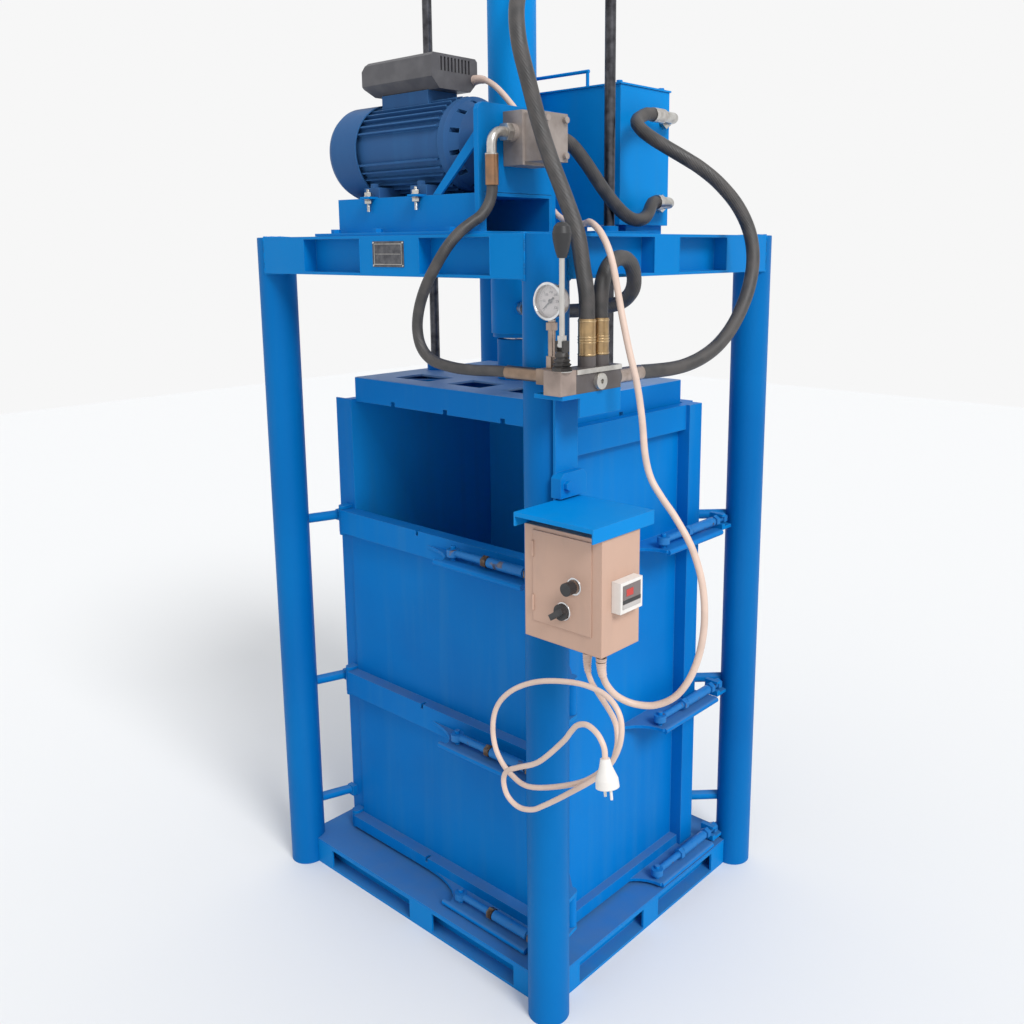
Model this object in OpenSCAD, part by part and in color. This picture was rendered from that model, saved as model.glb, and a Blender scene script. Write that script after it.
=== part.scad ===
// Vertical hydraulic recycling baler, in millimetres.
// The loading side faces -Y and the side door faces +X. The origin lies on the floor,
// midway between the four corner posts. Everything is drawn with the platen raised and
// both doors shut.

/* [Frame] */
// Height of the top frame above the floor
frame_h = 1650; // [1500:10:1900]
// Distance between post centres, left to right
post_pitch_x = 870; // [840:10:1000]
// Distance between post centres, front to back
post_pitch_y = 754; // [730:10:900]
// Outside diameter of the corner posts
post_d = 89; // [76:1:95]
// Wall of the corner posts
post_wall = 5; // [3:0.5:8]
// Height of the base rails
base_rail_h = 62; // [50:1:80]
// Height of the top frame's channels
top_rail_h = 84; // [70:1:100]
// Flange depth of the frame channels
channel_depth = 40; // [30:1:50]
// Steel thickness of the frame channels
channel_t = 6; // [4:0.5:8]
// Thickness of the floor plate
floor_t = 6; // [4:0.5:10]

/* [Chamber] */
// Inside width of the pressing chamber
chamber_w = 670; // [620:5:700]
// Inside depth of the pressing chamber
chamber_d = 490; // [440:5:510]
// Height of the top frame above the chamber walls
wall_drop = 400; // [380:10:520]
// Sheet thickness of walls and doors
sheet_t = 5; // [3:0.5:6]
// Height of the front door's upper edge
front_door_top = 966; // [960:2:1000]
// Height of the stiffening rails
band_h = 60; // [50:1:64]
// Depth of the stiffening rails
band_d = 30; // [24:1:34]

/* [Latches] */
// Heights of the three latch plates
latch_z = [938, 494, 84];
// Diameter of the swing bolts
bolt_d = 16; // [12:1:18]
// Diameter of the hinge pins
hinge_pin_d = 16; // [12:1:18]

/* [Press] */
// Working stroke of the platen
stroke = 620; // [400:10:640]
// Running gap between platen and chamber walls
platen_gap = 6; // [4:0.5:12]
// Height of the platen's skirt
platen_h = 60; // [50:1:80]
// Gap between the raised platen and the wall's upper edge
platen_rise = -5; // [-10:1:4]
// Outside diameter of the cylinder
barrel_d = 114; // [100:1:118]
// Diameter of the piston rod
rod_d = 60; // [45:1:66]
// Diameter of the guide rods
guide_d = 24; // [18:1:30]
// Distance between the guide rods
guide_pitch = 580; // [520:5:600]
// Height of the cylinder's lower end below the top frame
cylinder_drop = 230; // [180:5:240]

/* [Power pack] */
// Height of the motor shaft above the frame
shaft_h = 185; // [180:1:200]
// Diameter of the motor's fan cover
motor_d = 206; // [190:1:210]
// Distance of the motor axis behind the front posts
motor_back = 114; // [110:1:120]
// Height of the oil tank
tank_h = 330; // [280:5:360]
// Width of the oil tank
tank_w = 300; // [260:5:330]
// Depth of the oil tank
tank_d = 190; // [170:5:220]

/* [Control box] */
// Width of the control box
box_w = 180; // [160:2:200]
// Height of the control box
box_h = 215; // [190:5:230]
// Depth of the control box
box_d = 112; // [100:2:116]
// Height of the control box's underside above the floor
box_z = 915; // [910:5:930]

/* [Hidden] */
$fn = 48;
fit = 0.3;
run_fit = 0.1;
px = post_pitch_x / 2;
py = post_pitch_y / 2;
pr = post_d / 2;
deck_z = base_rail_h + floor_t;
rail_z = frame_h - top_rail_h;
cx = chamber_w / 2;
wall_top = frame_h - wall_drop;
cy = chamber_d / 2;
frame_x = px + pr;
frame_y = py + pr;
blue = [0, 0.45, 0.78];
steel = [0.62, 0.62, 0.60];
grease = [0.32, 0.22, 0.14];
dark = [0.16, 0.16, 0.17];
zinc = [0.72, 0.72, 0.70];
cream = [0.80, 0.72, 0.62];

// Front door: hinge axis, leaf and latch line
fh_x = -(cx + 25);
fh_y = -(cy + 23);
door_gap = 0.3;
front_face = -(cy + sheet_t + door_gap);
band_front = front_face - sheet_t - band_d;
front_end = cx + 2;
lip_out = 100;
front_lip_y = -(cy + lip_out);
front_bolt_y = -(cy + lip_out - 20);
front_pivot_x = 110;
front_lug_x = px - pr - 40;

// Side door: hinge axis, leaf and latch line
sh_x = cx + 65;
sh_y = -(cy + 17);
side_face = cx + door_gap;
side_lip_x = cx + 95;
side_bolt_x = cx + 75;
side_pivot_y = 60;
side_lug_y = py - pr - 40.5;
side_end = cy + 22;

// Latch parts shared by both doors
plate_t = 8;
bolt_rise = 18;
lug_t = 12;
nut_af = 24;
nut_t = 14;
bolt_play = 3.5;
lip_bar_d = 14;
eye_d = 30;
hinge_half = 12.5;
pivot_d = 12;

// Press
platen_z = wall_top + platen_rise;
platen_w = chamber_w - 2 * platen_gap;
platen_d = chamber_d - 2 * platen_gap;
platen_top = platen_z + platen_h;
barrel_z = frame_h - cylinder_drop;
barrel_len = stroke + 210;
wire_pitch = 185;
flange_t = 12;
beam_gap = barrel_d / 2 + 8;
bush_h = 96;
guide_len = frame_h + stroke + 60 - platen_top;

// Motor and pump, along X at the shaft height
mot_y = -py + motor_back;
mot_z = frame_h + shaft_h;
shell_d = motor_d - 26;
fan_x0 = -235;
fan_len = 78;
body_len = 283;
shield_len = 82;
shaft_d = 27.9;
body_x0 = fan_x0 + fan_len;
shield_x0 = body_x0 + body_len;
bracket_x = 250;
bracket_t = 12;
bracket_w = 228;
base_t = 6;
stator_bore = 100;
coupling_len = bracket_x - 14 - shield_x0 - shield_len - 6;
cap_x0 = -152;
cap_len = 227;
cap_w = 133;
cap_h = 70;
cap_chamfer = 22;
motor_base_x0 = -226;
support_h = mot_z - frame_h - base_t - shell_d / 2 - 14;

// Tank, valve, gauge and control box
tank_x1 = 270;
tank_y0 = 64;
tank_foot = 24;
valve_x = frame_x + 28.5;
valve_w = 40;
valve_y0 = -467;
valve_len = 175;
valve_z = rail_z - 202;
valve_h = 44;
valve_top = valve_z + valve_h;
tee_len = 28;
tee_y = valve_y0 + 29;
tee_z = valve_z + 30;
lever_x = valve_x + 30;
lever_y = valve_y0 + 16;
gauge_x = frame_x + 14.5;
gauge_y = valve_y0 + 43;
gauge_z = rail_z - 37;
gauge_d = 68;
stem_y = gauge_y - 4;
box_x = frame_x + 8;
box_y1 = -388;
box_y0 = box_y1 - box_d;
box_wall = 1.5;

// Corner notches of the floor plate and rails leave this much air round a post
post_air = 0.3;

// A C channel along +X: web at y = 0, flanges towards -Y, underside at z = 0
module channel(len, h, depth, t) {
    rotate([90, 0, 90])
        linear_extrude(len)
            polygon([[0, 0], [0, h], [-depth, h], [-depth, h - t], [-t, h - t],
                [-t, t], [-depth, t], [-depth, 0]]);
}

// A rectangular tube along +X, its cross-section starting at y = 0 and z = 0
module box_tube(len, w, h, t) {
    difference() {
        cube([len, w, h]);
        translate([-1, t, t])
            cube([len + 2, w - 2 * t, h - 2 * t]);
    }
}

// Upright pipe with a true bore
module pipe(d, wall, h) {
    difference() {
        cylinder(d = d, h = h);
        translate([0, 0, -1])
            cylinder(d = d - 2 * wall, h = h + 2);
    }
}

// Hexagon head, axis along Z
module hex_head(af, h) {
    cylinder(d = af / cos(30), h = h, $fn = 6);
}

// Points on the four posts
module at_posts() {
    for (sx = [-1, 1], sy = [-1, 1])
        translate([sx * px, sy * py, 0])
            children();
}

// Lower rails, front and rear: channels open outward, with stiffening end plates
module base_rails_front_rear() {
    len = 2 * (px - pr - post_air);
    color(blue)
        for (side = [0, 1])
            rotate([0, 0, 180 * side]) {
                translate([-len / 2, -py + channel_depth, 0])
                    channel(len, base_rail_h, channel_depth, channel_t);
                for (x = [-len / 2, -20, len / 2 - 60])
                    translate([x, -py, channel_t])
                        cube([x > 0 || x < -100 ? 60 : 80, channel_t, base_rail_h - 2 * channel_t]);
            }
}

// Lower rails, left and right, between the front and rear posts
module base_rails_sides() {
    len = 2 * (py - pr - post_air);
    color(blue)
        for (side = [0, 1])
            rotate([0, 0, 90 + 180 * side]) {
                translate([-len / 2, -px + channel_depth, 0])
                    channel(len, base_rail_h, channel_depth, channel_t);
                for (x = [-len / 2, len / 2 - 60, -30])
                    translate([x, -px, channel_t])
                        cube([60, channel_t, base_rail_h - 2 * channel_t]);
            }
}

// Plate that closes the base, with two cross members under it, notched round the posts
module floor_plate() {
    color(blue) {
        difference() {
            translate([-px, -py, base_rail_h])
                cube([2 * px, 2 * py, floor_t]);
            at_posts()
                translate([0, 0, base_rail_h - 1])
                    cylinder(r = pr + post_air, h = floor_t + 2);
        }
        for (x = [-150 - channel_depth, 150])
            translate([x, py - channel_depth - fit, 0])
                rotate([0, 0, -90])
                    box_tube(2 * (py - channel_depth - fit), channel_depth, base_rail_h, channel_t);
        translate([-151, -30, 0])
            box_tube(302, 60, base_rail_h, channel_t);
    }
}

// Four pipe posts from the floor to the underside of the top frame
module corner_posts() {
    color(blue)
        at_posts()
            pipe(post_d, post_wall, rail_z);
}

// Top frame, front and rear channels over the full width, with flush plates over the posts
module top_rails_front_rear() {
    color(blue)
        for (side = [0, 1])
            rotate([0, 0, 180 * side])
                translate([0, 0, rail_z]) {
                    translate([-frame_x, -frame_y + channel_depth, 0])
                        channel(2 * frame_x, top_rail_h, channel_depth, channel_t);
                    for (x = [-frame_x, frame_x - post_d])
                        translate([x, -frame_y, 0]) {
                            cube([post_d, channel_t, top_rail_h]);
                            cube([channel_t, channel_depth, top_rail_h]);
                            translate([post_d - channel_t, 0, 0])
                                cube([channel_t, channel_depth, top_rail_h]);
                        }
                    // Plates inside the corners, over the open ends of the posts
                    for (x = [-frame_x + channel_depth + fit, frame_x - post_d])
                        translate([x, -frame_y + channel_depth - 1, 0])
                            cube([post_d - channel_depth - fit, post_d - channel_depth + 1, channel_t]);
                    translate([-75, -frame_y, 0])
                        cube([170, channel_t, top_rail_h]);
                }
}

// Top frame, left and right channels between the front and rear ones
module top_rails_sides() {
    len = 2 * (frame_y - channel_depth);
    color(blue)
        for (side = [0, 1])
            rotate([0, 0, 90 + 180 * side])
                translate([0, 0, rail_z]) {
                    translate([-len / 2, -frame_x + channel_depth, 0])
                        channel(len, top_rail_h, channel_depth, channel_t);
                    translate([-len / 2 + 170, -frame_x, 0])
                        cube([90, channel_t, top_rail_h]);
                    translate([-len / 2 + fit, -frame_x + channel_t, 0])
                        cube([channel_t, channel_depth - channel_t, top_rail_h]);
                }
}

// Two beams across the frame that carry the cylinder, the guides and the power pack
module deck_beams() {
    len = 2 * (frame_x - channel_depth - fit);
    color(blue) {
        for (side = [0, 1])
            rotate([0, 0, 180 * side])
                translate([-len / 2, -beam_gap, rail_z])
                    channel(len, top_rail_h, channel_depth, channel_t);
        // Bearers under the motor base, from the front rail to the front beam
        for (x = [-200, 180], z = [rail_z, frame_h - channel_t])
            translate([x, -frame_y + channel_depth + fit, z])
                cube([60, frame_y - channel_depth - beam_gap - channel_depth - 2 * fit + 1, channel_t]);
        // Bearer under the rear of the oil tank
        for (x = [-10, tank_x1 - 60])
            translate([x, beam_gap + channel_depth - 1, frame_h - channel_t])
                cube([60, frame_y - channel_depth - beam_gap - channel_depth - fit + 1, channel_t]);
    }
}

// Stiffening rail along +X: web outward at y = -depth, underside at z = 0
module band(len, h, depth) {
    t = 5;
    rotate([90, 0, 90])
        linear_extrude(len)
            polygon([[0, 0], [0, t], [-depth + t, t], [-depth + t, h - t], [0, h - t],
                [0, h], [-depth, h], [-depth, 0]]);
}

// Lower edges of the three rails, from the latch heights
function band_z(i) = i == 2 ? deck_z + 10 : latch_z[i] - (i == 0 ? 32 : 29);
function band_height(i) = i == 2 ? 30 : (i == 0 ? front_door_top - band_z(0) : band_h);

// Left wall with its front flange, which the front door closes against
module left_wall() {
    color(blue) {
        translate([-cx - sheet_t, -cy, deck_z])
            cube([sheet_t, chamber_d + sheet_t, wall_top - deck_z]);
        translate([-cx - 60, -cy - sheet_t, deck_z])
            cube([60, sheet_t, wall_top - deck_z]);
        for (i = [0:2])
            translate([-cx - sheet_t, cy, band_z(i)])
                rotate([0, 0, -90])
                    band(chamber_d, band_height(i), band_d);
        translate([-cx - sheet_t, cy, wall_top - 40])
            rotate([0, 0, -90])
                band(chamber_d, 40, 22);
    }
}

// Rear wall with stiffening rails and the stile that the side door closes against
module rear_wall() {
    w = chamber_w - fit;
    color(blue) {
        translate([-cx, cy, deck_z])
            cube([w, sheet_t, wall_top - deck_z]);
        for (i = [0:2])
            translate([cx - fit, cy + sheet_t, band_z(i)])
                rotate([0, 0, 180])
                    band(w, band_height(i), band_d);
        translate([cx - fit, cy + sheet_t, wall_top - 40])
            rotate([0, 0, 180])
                band(w, 40, 22);
        translate([cx - fit - 45, cy, deck_z])
            cube([45, 40, wall_top - deck_z]);
    }
}

// Round bar between two points in plan, at one height
module arm(from, to, z, d = 24) {
    run = to - from;
    len = norm(run);
    translate([from[0], from[1], z])
        rotate([0, 0, atan2(run[1], run[0])])
            rotate([0, 90, 0])
                cylinder(d = d, h = len);
}

function arm_z(i) = i == 2 ? 160 : latch_z[i] + 4;

// Round arms that hold the chamber between the posts, at the three rail heights
module wall_arms() {
    flange_y = -cy - sheet_t;
    color(blue)
        difference() {
            union()
                for (i = [0:2]) {
                    arm([-px, -py], [-cx - 58, flange_y - 3], arm_z(i));
                    arm([-px, py], [-cx - 40, cy - 60], arm_z(i) + 14);
                    arm([px - 20, py], [cx - 20, cy + 34], arm_z(i) + 14);
                    // Web plates that join each arm to the wall's flange
                    translate([-cx - 66, flange_y - 14, arm_z(i) - 14])
                        cube([24, 14 - fit / 2, 28]);
                    translate([-cx - sheet_t - band_d - 30, cy - 80, arm_z(i) + 2])
                        cube([30 - fit, 40, 24]);
                    translate([cx - 45, cy + 40 + fit / 2, arm_z(i) + 2])
                        cube([44, 10, 24]);
                }
            at_posts()
                cylinder(r = pr + 0.15, h = frame_h);
            // The left wall's rails and the rear wall's rails stay clear of the arms
            translate([-cx - sheet_t - band_d - 0.15, -cy - sheet_t - 0.15, deck_z])
                cube([chamber_w + band_d + sheet_t + 0.15, chamber_d + 2 * sheet_t + 35.3, wall_top]);
            translate([-cx - 60.15, flange_y - 0.15, deck_z])
                cube([60, sheet_t + 0.3, wall_top]);
        }
}

// Latch plate in plan for a door whose rail lies along +X: a crescent that widens to the
// lip line, then runs straight to its end
module crescent(x0, x1, x2, base, out) {
    steps = 8;
    linear_extrude(plate_t)
        polygon(concat([[x2, base], [x0, base]],
            [for (i = [1:steps])
                [x0 + (x1 - x0) * sin(90 * i / steps), base - (base - out) * (1 - cos(90 * i / steps))]],
            [[x2, out]]));
}

// Knuckle of a door hinge, bored for its pin
module knuckle(h) {
    difference() {
        cylinder(d = hinge_pin_d + 10, h = h);
        translate([0, 0, -1])
            cylinder(d = hinge_pin_d + run_fit, h = h + 2);
    }
}

// Front door: sheet, three rails, closing stile, hinge knuckles and latch plates
module front_door() {
    left = fh_x + 14;
    color(blue) {
        translate([left, front_face - sheet_t, deck_z + 4])
            cube([front_end - left, sheet_t, front_door_top - deck_z - 4]);
        for (i = [0:2]) {
            translate([left - 4, front_face - sheet_t, band_z(i)])
                difference() {
                    band(front_end - left + 4, band_height(i), band_d);
                    // Slot for the tying wire beside the latch plate
                    translate([-58 - left, -band_d - 1, band_height(i) - 12])
                        cube([8, 16, 13]);
                }
            translate([fh_x, fh_y, band_z(i)])
                knuckle(band_height(i));
            translate([0, 0, latch_z[i] - plate_t])
                crescent(-50, 90, front_lug_x - 12, band_front + 1, front_lip_y);
            // Round bar along the free edge of the latch plate
            translate([70, front_lip_y, latch_z[i] - lip_bar_d / 2])
                rotate([0, 90, 0])
                    cylinder(d = lip_bar_d, h = front_lug_x - 12 - 70);
            translate([front_pivot_x, front_bolt_y, latch_z[i] - 1])
                cylinder(d = pivot_d, h = bolt_rise + eye_d / 2 + 2);
        }
    }
}

// Side door: sheet, top rail, free stile, hinge straps with knuckles and latch plates
module side_door() {
    y0 = -(cy + sheet_t - 1);
    top_h = 60;
    color(blue) {
        translate([side_face, y0, deck_z + 4])
            cube([sheet_t, side_end - y0, wall_top - deck_z - 4]);
        translate([side_face + sheet_t, y0, wall_top - top_h])
            rotate([0, 0, 90])
                band(side_end - y0 - 50, top_h, 22);
        translate([side_face + sheet_t, y0, deck_z + 10])
            rotate([0, 0, 90])
                band(side_end - y0 - 50, 30, 22);
        translate([side_face, side_end - 52, deck_z + 4])
            cube([38, 52, wall_top - deck_z - 4]);
        translate([side_face, y0, deck_z + 4])
            cube([14, 40, wall_top - deck_z - 4]);
        for (z = side_hinge_z)
            translate([0, 0, z]) {
                translate([sh_x, sh_y, 0])
                    knuckle(side_knuckle);
                difference() {
                    hull() {
                        translate([side_face, y0 + 8, 0])
                            cube([4, 44, side_knuckle]);
                        translate([sh_x - 8, sh_y + 8, 0])
                            cube([6, 4, side_knuckle]);
                    }
                    translate([sh_x, sh_y, -1])
                        cylinder(d = hinge_pin_d + 4, h = side_knuckle + 2);
                }
            }
        for (i = [0:2]) {
            translate([0, 0, latch_z[i] - plate_t])
                rotate([0, 0, 90])
                    crescent(-50, 46, side_lug_y - 12, -side_face - 4, -side_lip_x);
            translate([side_lip_x, 52, latch_z[i] - lip_bar_d / 2])
                rotate([-90, 0, 0])
                    cylinder(d = lip_bar_d, h = side_lug_y - 12 - 52);
            translate([side_bolt_x, side_pivot_y, latch_z[i] - 1])
                cylinder(d = pivot_d, h = bolt_rise + eye_d / 2 + 2);
        }
    }
}

side_hinge_z = [wall_top - 130, 640, 130];
side_knuckle = 76;

// Fixed half of the front hinge: a plate above and below each knuckle, and the pin
module front_hinge() {
    color(blue)
        for (i = [0:2]) {
            z0 = band_z(i) - plate_t - 0.5;
            z1 = band_z(i) + band_height(i) + 0.5;
            for (z = [z0, z1]) {
                translate([fh_x, fh_y, z])
                    cylinder(r = hinge_half, h = plate_t);
                translate([fh_x - hinge_half, fh_y, z])
                    cube([2 * hinge_half, -cy - sheet_t - fh_y - fit / 2, plate_t]);
            }
            translate([fh_x, fh_y, z0])
                cylinder(d = hinge_pin_d, h = z1 + plate_t - z0);
        }
}

// Fixed half of the side hinge: lugs from the front post above and below each knuckle
module side_hinge() {
    color(blue)
        difference() {
            union()
                for (z = side_hinge_z) {
                    for (dz = [-plate_t - 0.5, side_knuckle + 0.5])
                        translate([0, 0, z + dz])
                            hull() {
                                translate([sh_x, sh_y, 0])
                                    cylinder(d = 28, h = plate_t, $fn = 32);
                                translate([px - 20, -py + 20, 0])
                                    cylinder(d = 30, h = plate_t, $fn = 32);
                            }
                    translate([sh_x, sh_y, z - plate_t - 0.5])
                        cylinder(d = hinge_pin_d, h = side_knuckle + 2 * plate_t + 1);
                }
            at_posts()
                cylinder(r = pr + 0.15, h = frame_h);
        }
}

// Slotted lug and its foot on a post, open outward, for a bolt lying along +X at y = 0
module latch_lug(reach) {
    slot = bolt_d + 3;
    difference() {
        union() {
            translate([0, -16, -bolt_rise + 2])
                cube([lug_t, 38, bolt_rise + 14]);
            translate([0, -16, -bolt_rise - plate_t + 2])
                cube([reach, 38, plate_t]);
        }
        translate([-1, -21, -slot / 2])
            cube([lug_t + 2, 21, slot]);
        translate([-1, 0, 0])
            rotate([0, 90, 0])
                cylinder(d = slot, h = lug_t + 2);
    }
}

module front_lugs() {
    color(blue)
        difference() {
            for (z = latch_z)
                translate([front_lug_x, front_bolt_y, z + bolt_rise])
                    latch_lug(70);
            at_posts()
                cylinder(r = pr + 0.15, h = frame_h);
        }
}

module side_lugs() {
    color(blue)
        difference() {
            for (z = latch_z)
                translate([side_bolt_x, side_lug_y, z + bolt_rise])
                    rotate([0, 0, 90])
                        latch_lug(76);
            at_posts()
                cylinder(r = pr + 0.15, h = frame_h);
        }
}

// Swing bolt along +X from its eye: shank, spacer tube and three nuts
module swing_bolt(lug_at, reach) {
    first_nut = lug_at * 0.4;
    color(grease)
        difference() {
            union() {
                translate([0, 0, -bolt_d / 2])
                    cylinder(d = eye_d, h = bolt_d);
                rotate([0, 90, 0])
                    cylinder(d = bolt_d, h = reach);
                for (x = [first_nut, lug_at - bolt_play - nut_t, lug_at + lug_t + bolt_play])
                    translate([x, 0, 0])
                        rotate([0, 90, 0])
                            hex_head(nut_af, nut_t);
                translate([first_nut + nut_t + 2, 0, 0])
                    rotate([0, 90, 0])
                        cylinder(d = bolt_d + 7, h = lug_at - first_nut - 2 * nut_t - bolt_play - 8);
            }
            translate([0, 0, -bolt_d])
                cylinder(d = pivot_d + run_fit, h = 2 * bolt_d);
        }
}

module front_bolt(i) {
    translate([front_pivot_x, front_bolt_y, latch_z[i] + bolt_rise])
        swing_bolt(front_lug_x - front_pivot_x, px - pr - 7 - front_pivot_x);
}

module side_bolt(i) {
    translate([side_bolt_x, side_pivot_y, latch_z[i] + bolt_rise])
        rotate([0, 0, 90])
            swing_bolt(side_lug_y - side_pivot_y, side_lug_y - side_pivot_y + 35);
}

// Platen: pressing plate, notched skirt, rim, diagonal ribs and the sockets for the rods
module platen() {
    t = 6;
    color(blue)
        difference() {
            union() {
                translate([-platen_w / 2, -platen_d / 2, platen_z + 8])
                    cube([platen_w, platen_d, 8]);
                difference() {
                    translate([-platen_w / 2, -platen_d / 2, platen_z])
                        cube([platen_w, platen_d, platen_h]);
                    translate([-platen_w / 2 + t, -platen_d / 2 + t, platen_z - 1])
                        cube([platen_w - 2 * t, platen_d - 2 * t, platen_h + 2]);
                }
                // Rim turned inward along the upper edge
                difference() {
                    translate([-platen_w / 2, -platen_d / 2, platen_top - t])
                        cube([platen_w, platen_d, t]);
                    translate([-platen_w / 2 + 28, -platen_d / 2 + 28, platen_top - t - 1])
                        cube([platen_w - 56, platen_d - 56, t + 2]);
                }
                rib = norm([platen_w, platen_d]) - 15;
                for (s = [-1, 1])
                    rotate([0, 0, s * atan2(platen_d, platen_w)])
                        translate([-rib / 2, -5, platen_z + 15])
                            cube([rib, 10, platen_h - 18]);
                for (x = [-guide_pitch / 2, 0, guide_pitch / 2])
                    translate([x, 0, platen_z + 12])
                        cylinder(d = x == 0 ? rod_d + 34 : guide_d + 20, h = platen_h - 12 + (x == 0 ? 0 : 20));
            }
            // Wire slots across the pressing face, open at the skirt's lower edge
            for (x = [-wire_pitch, 0, wire_pitch])
                translate([x - 7, -platen_d / 2 - 1, platen_z - 1])
                    cube([14, platen_d + 2, 12]);
            translate([-platen_w / 2 - 1, -7, platen_z - 1])
                cube([platen_w + 2, 14, 12]);
            for (x = [-guide_pitch / 2, guide_pitch / 2])
                translate([x, 0, platen_z + 20])
                    cylinder(d = guide_d, h = platen_h + 30);
            translate([0, 0, platen_z + 20])
                cylinder(d = rod_d, h = platen_h);
        }
}

// Piston rod with the collar that shows between gland and platen
module ram_rod() {
    color(zinc)
        translate([0, 0, platen_z + 20])
            cylinder(d = rod_d, h = barrel_z + 120 - platen_z - 20);
    color(blue)
        difference() {
            translate([0, 0, platen_top + fit])
                cylinder(d = rod_d + 26, h = barrel_z - platen_top - 14);
            translate([0, 0, platen_top])
                cylinder(d = rod_d, h = barrel_z);
        }
}

module guide_rods() {
    color(dark)
        for (x = [-guide_pitch / 2, guide_pitch / 2])
            translate([x, 0, platen_z + 20])
                cylinder(d = guide_d, h = guide_len + platen_h - 20);
}

// Guide bushes: a flanged tube for each guide rod on a plate across the deck beams
module guide_bushes() {
    color(blue)
        for (x = [-guide_pitch / 2, guide_pitch / 2])
            difference() {
                translate([x, 0, 0]) {
                    translate([0, 0, frame_h + 20 - bush_h])
                        cylinder(d = guide_d + 18, h = bush_h);
                    translate([-40, -beam_gap - channel_depth + 6, frame_h + fit])
                        cube([80, 2 * (beam_gap + channel_depth - 6), 8]);
                }
                translate([x, 0, rail_z - 20])
                    cylinder(d = guide_d + 0.1, h = bush_h + 60);
            }
}

// Cylinder tube with its mounting flange, upper cap, ports and lower head
module cylinder_barrel() {
    top = barrel_z + barrel_len;
    bore = barrel_d - 16;
    color(blue)
        difference() {
            union() {
                translate([0, 0, barrel_z])
                    cylinder(d = barrel_d, h = barrel_len);
                translate([0, 0, top - 30])
                    cylinder(d = barrel_d + 12, h = 30);
                translate([-88, -beam_gap - channel_depth + 6, frame_h + fit])
                    cube([176, 2 * (beam_gap + channel_depth - 6), flange_t]);
                // Webs between tube and flange
                for (a = [225, 315])
                    rotate([0, 0, a])
                        translate([barrel_d / 2 - 4, -4, frame_h + fit])
                            rotate([90, 0, 0])
                                translate([0, 0, -8])
                                    linear_extrude(8)
                                        polygon([[0, 0], [50, 0], [50, 16], [0, 90]]);
                // Upper port boss towards the front right
                rotate([0, 0, -30])
                    translate([0, 0, top - 52])
                        rotate([0, 90, 0])
                            cylinder(d = 34, h = barrel_d / 2 + 16);
                // Lower port boss, under the deck beams
                rotate([0, 0, -30])
                    translate([0, 0, barrel_z + 62])
                        rotate([0, 90, 0])
                            cylinder(d = 34, h = barrel_d / 2 + 12);
            }
            translate([0, 0, barrel_z + 36])
                cylinder(d = bore, h = barrel_len - 66);
            translate([0, 0, barrel_z - 1])
                cylinder(d = rod_d + 14, h = 40);
        }
    color(steel)
        for (sx = [-1, 1], sy = [-1, 1])
            translate([sx * 70, sy * (beam_gap + 18), frame_h + flange_t + fit])
                hex_head(19, 8);
}

// Gland bush that screws into the lower end of the tube
module cylinder_gland() {
    color(steel)
        difference() {
            union() {
                translate([0, 0, barrel_z - 10])
                    cylinder(d = barrel_d - 8, h = 10 - fit);
                translate([0, 0, barrel_z - 1])
                    cylinder(d = rod_d + 14 - 0.4, h = 34);
            }
            translate([0, 0, barrel_z - 11])
                cylinder(d = rod_d + 0.1, h = 60);
        }
}

// Base plate and folded channel that carry the motor's feet
module motor_base() {
    len = bracket_x + bracket_t + 10 - motor_base_x0;
    z = frame_h + fit;
    color(blue) {
        translate([motor_base_x0, -frame_y + 8, z])
            cube([len, 296, base_t]);
        difference() {
            translate([motor_base_x0 + 24, mot_y - 100, z + base_t])
                cube([len - 34, 200, support_h - fit]);
            translate([motor_base_x0 + 20, mot_y - 94, z + base_t - 1])
                cube([len, 188, support_h - 6]);
        }
    }
    color(steel)
        for (x = [motor_base_x0 + 40, -40, bracket_x - 60], y = [mot_y - 130])
            translate([x, y + 8, z + base_t])
                hex_head(19, 9);
}

// Height of the neck above the shell, from 8 mm inside it
cap_neck = 34;

// Finned motor shell with feet and the neck under the capacitor box
module motor_body() {
    fins = 36;
    fin_r = motor_d / 2 - 4;
    color(blue)
        difference() {
            union() {
                translate([body_x0, mot_y, mot_z])
                    rotate([0, 90, 0])
                        cylinder(d = shell_d, h = body_len);
                for (a = [0:fins - 1])
                    let (turn = a * 360 / fins)
                        if (abs(turn - 180) > 14)
                            translate([body_x0 + 6, mot_y, mot_z])
                                rotate([turn - 90, 0, 0])
                                    translate([0, -1.6, shell_d / 2 - 3])
                                        cube([body_len - 12, 3.2, fin_r - shell_d / 2 + 3]);
                // Feet, cast with the shell
                for (x = [body_x0 + 40, body_x0 + body_len - 90])
                    translate([x, mot_y - 92, mot_z - shell_d / 2 - 14 + fit])
                        cube([50, 184, 22]);
                // Neck for the capacitor box
                translate([body_x0 + 50, mot_y - 42, mot_z + shell_d / 2 - 8])
                    cube([150, 84, cap_neck]);
            }
            translate([body_x0 - 1, mot_y, mot_z])
                rotate([0, 90, 0])
                    cylinder(d = stator_bore, h = body_len + 2);
        }
    color(steel)
        for (x = [body_x0 + 65, body_x0 + body_len - 65], y = [mot_y - 82, mot_y + 82])
            translate([x, y, mot_z - shell_d / 2 + 8 + fit])
                hex_head(17, 9);
}

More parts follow.
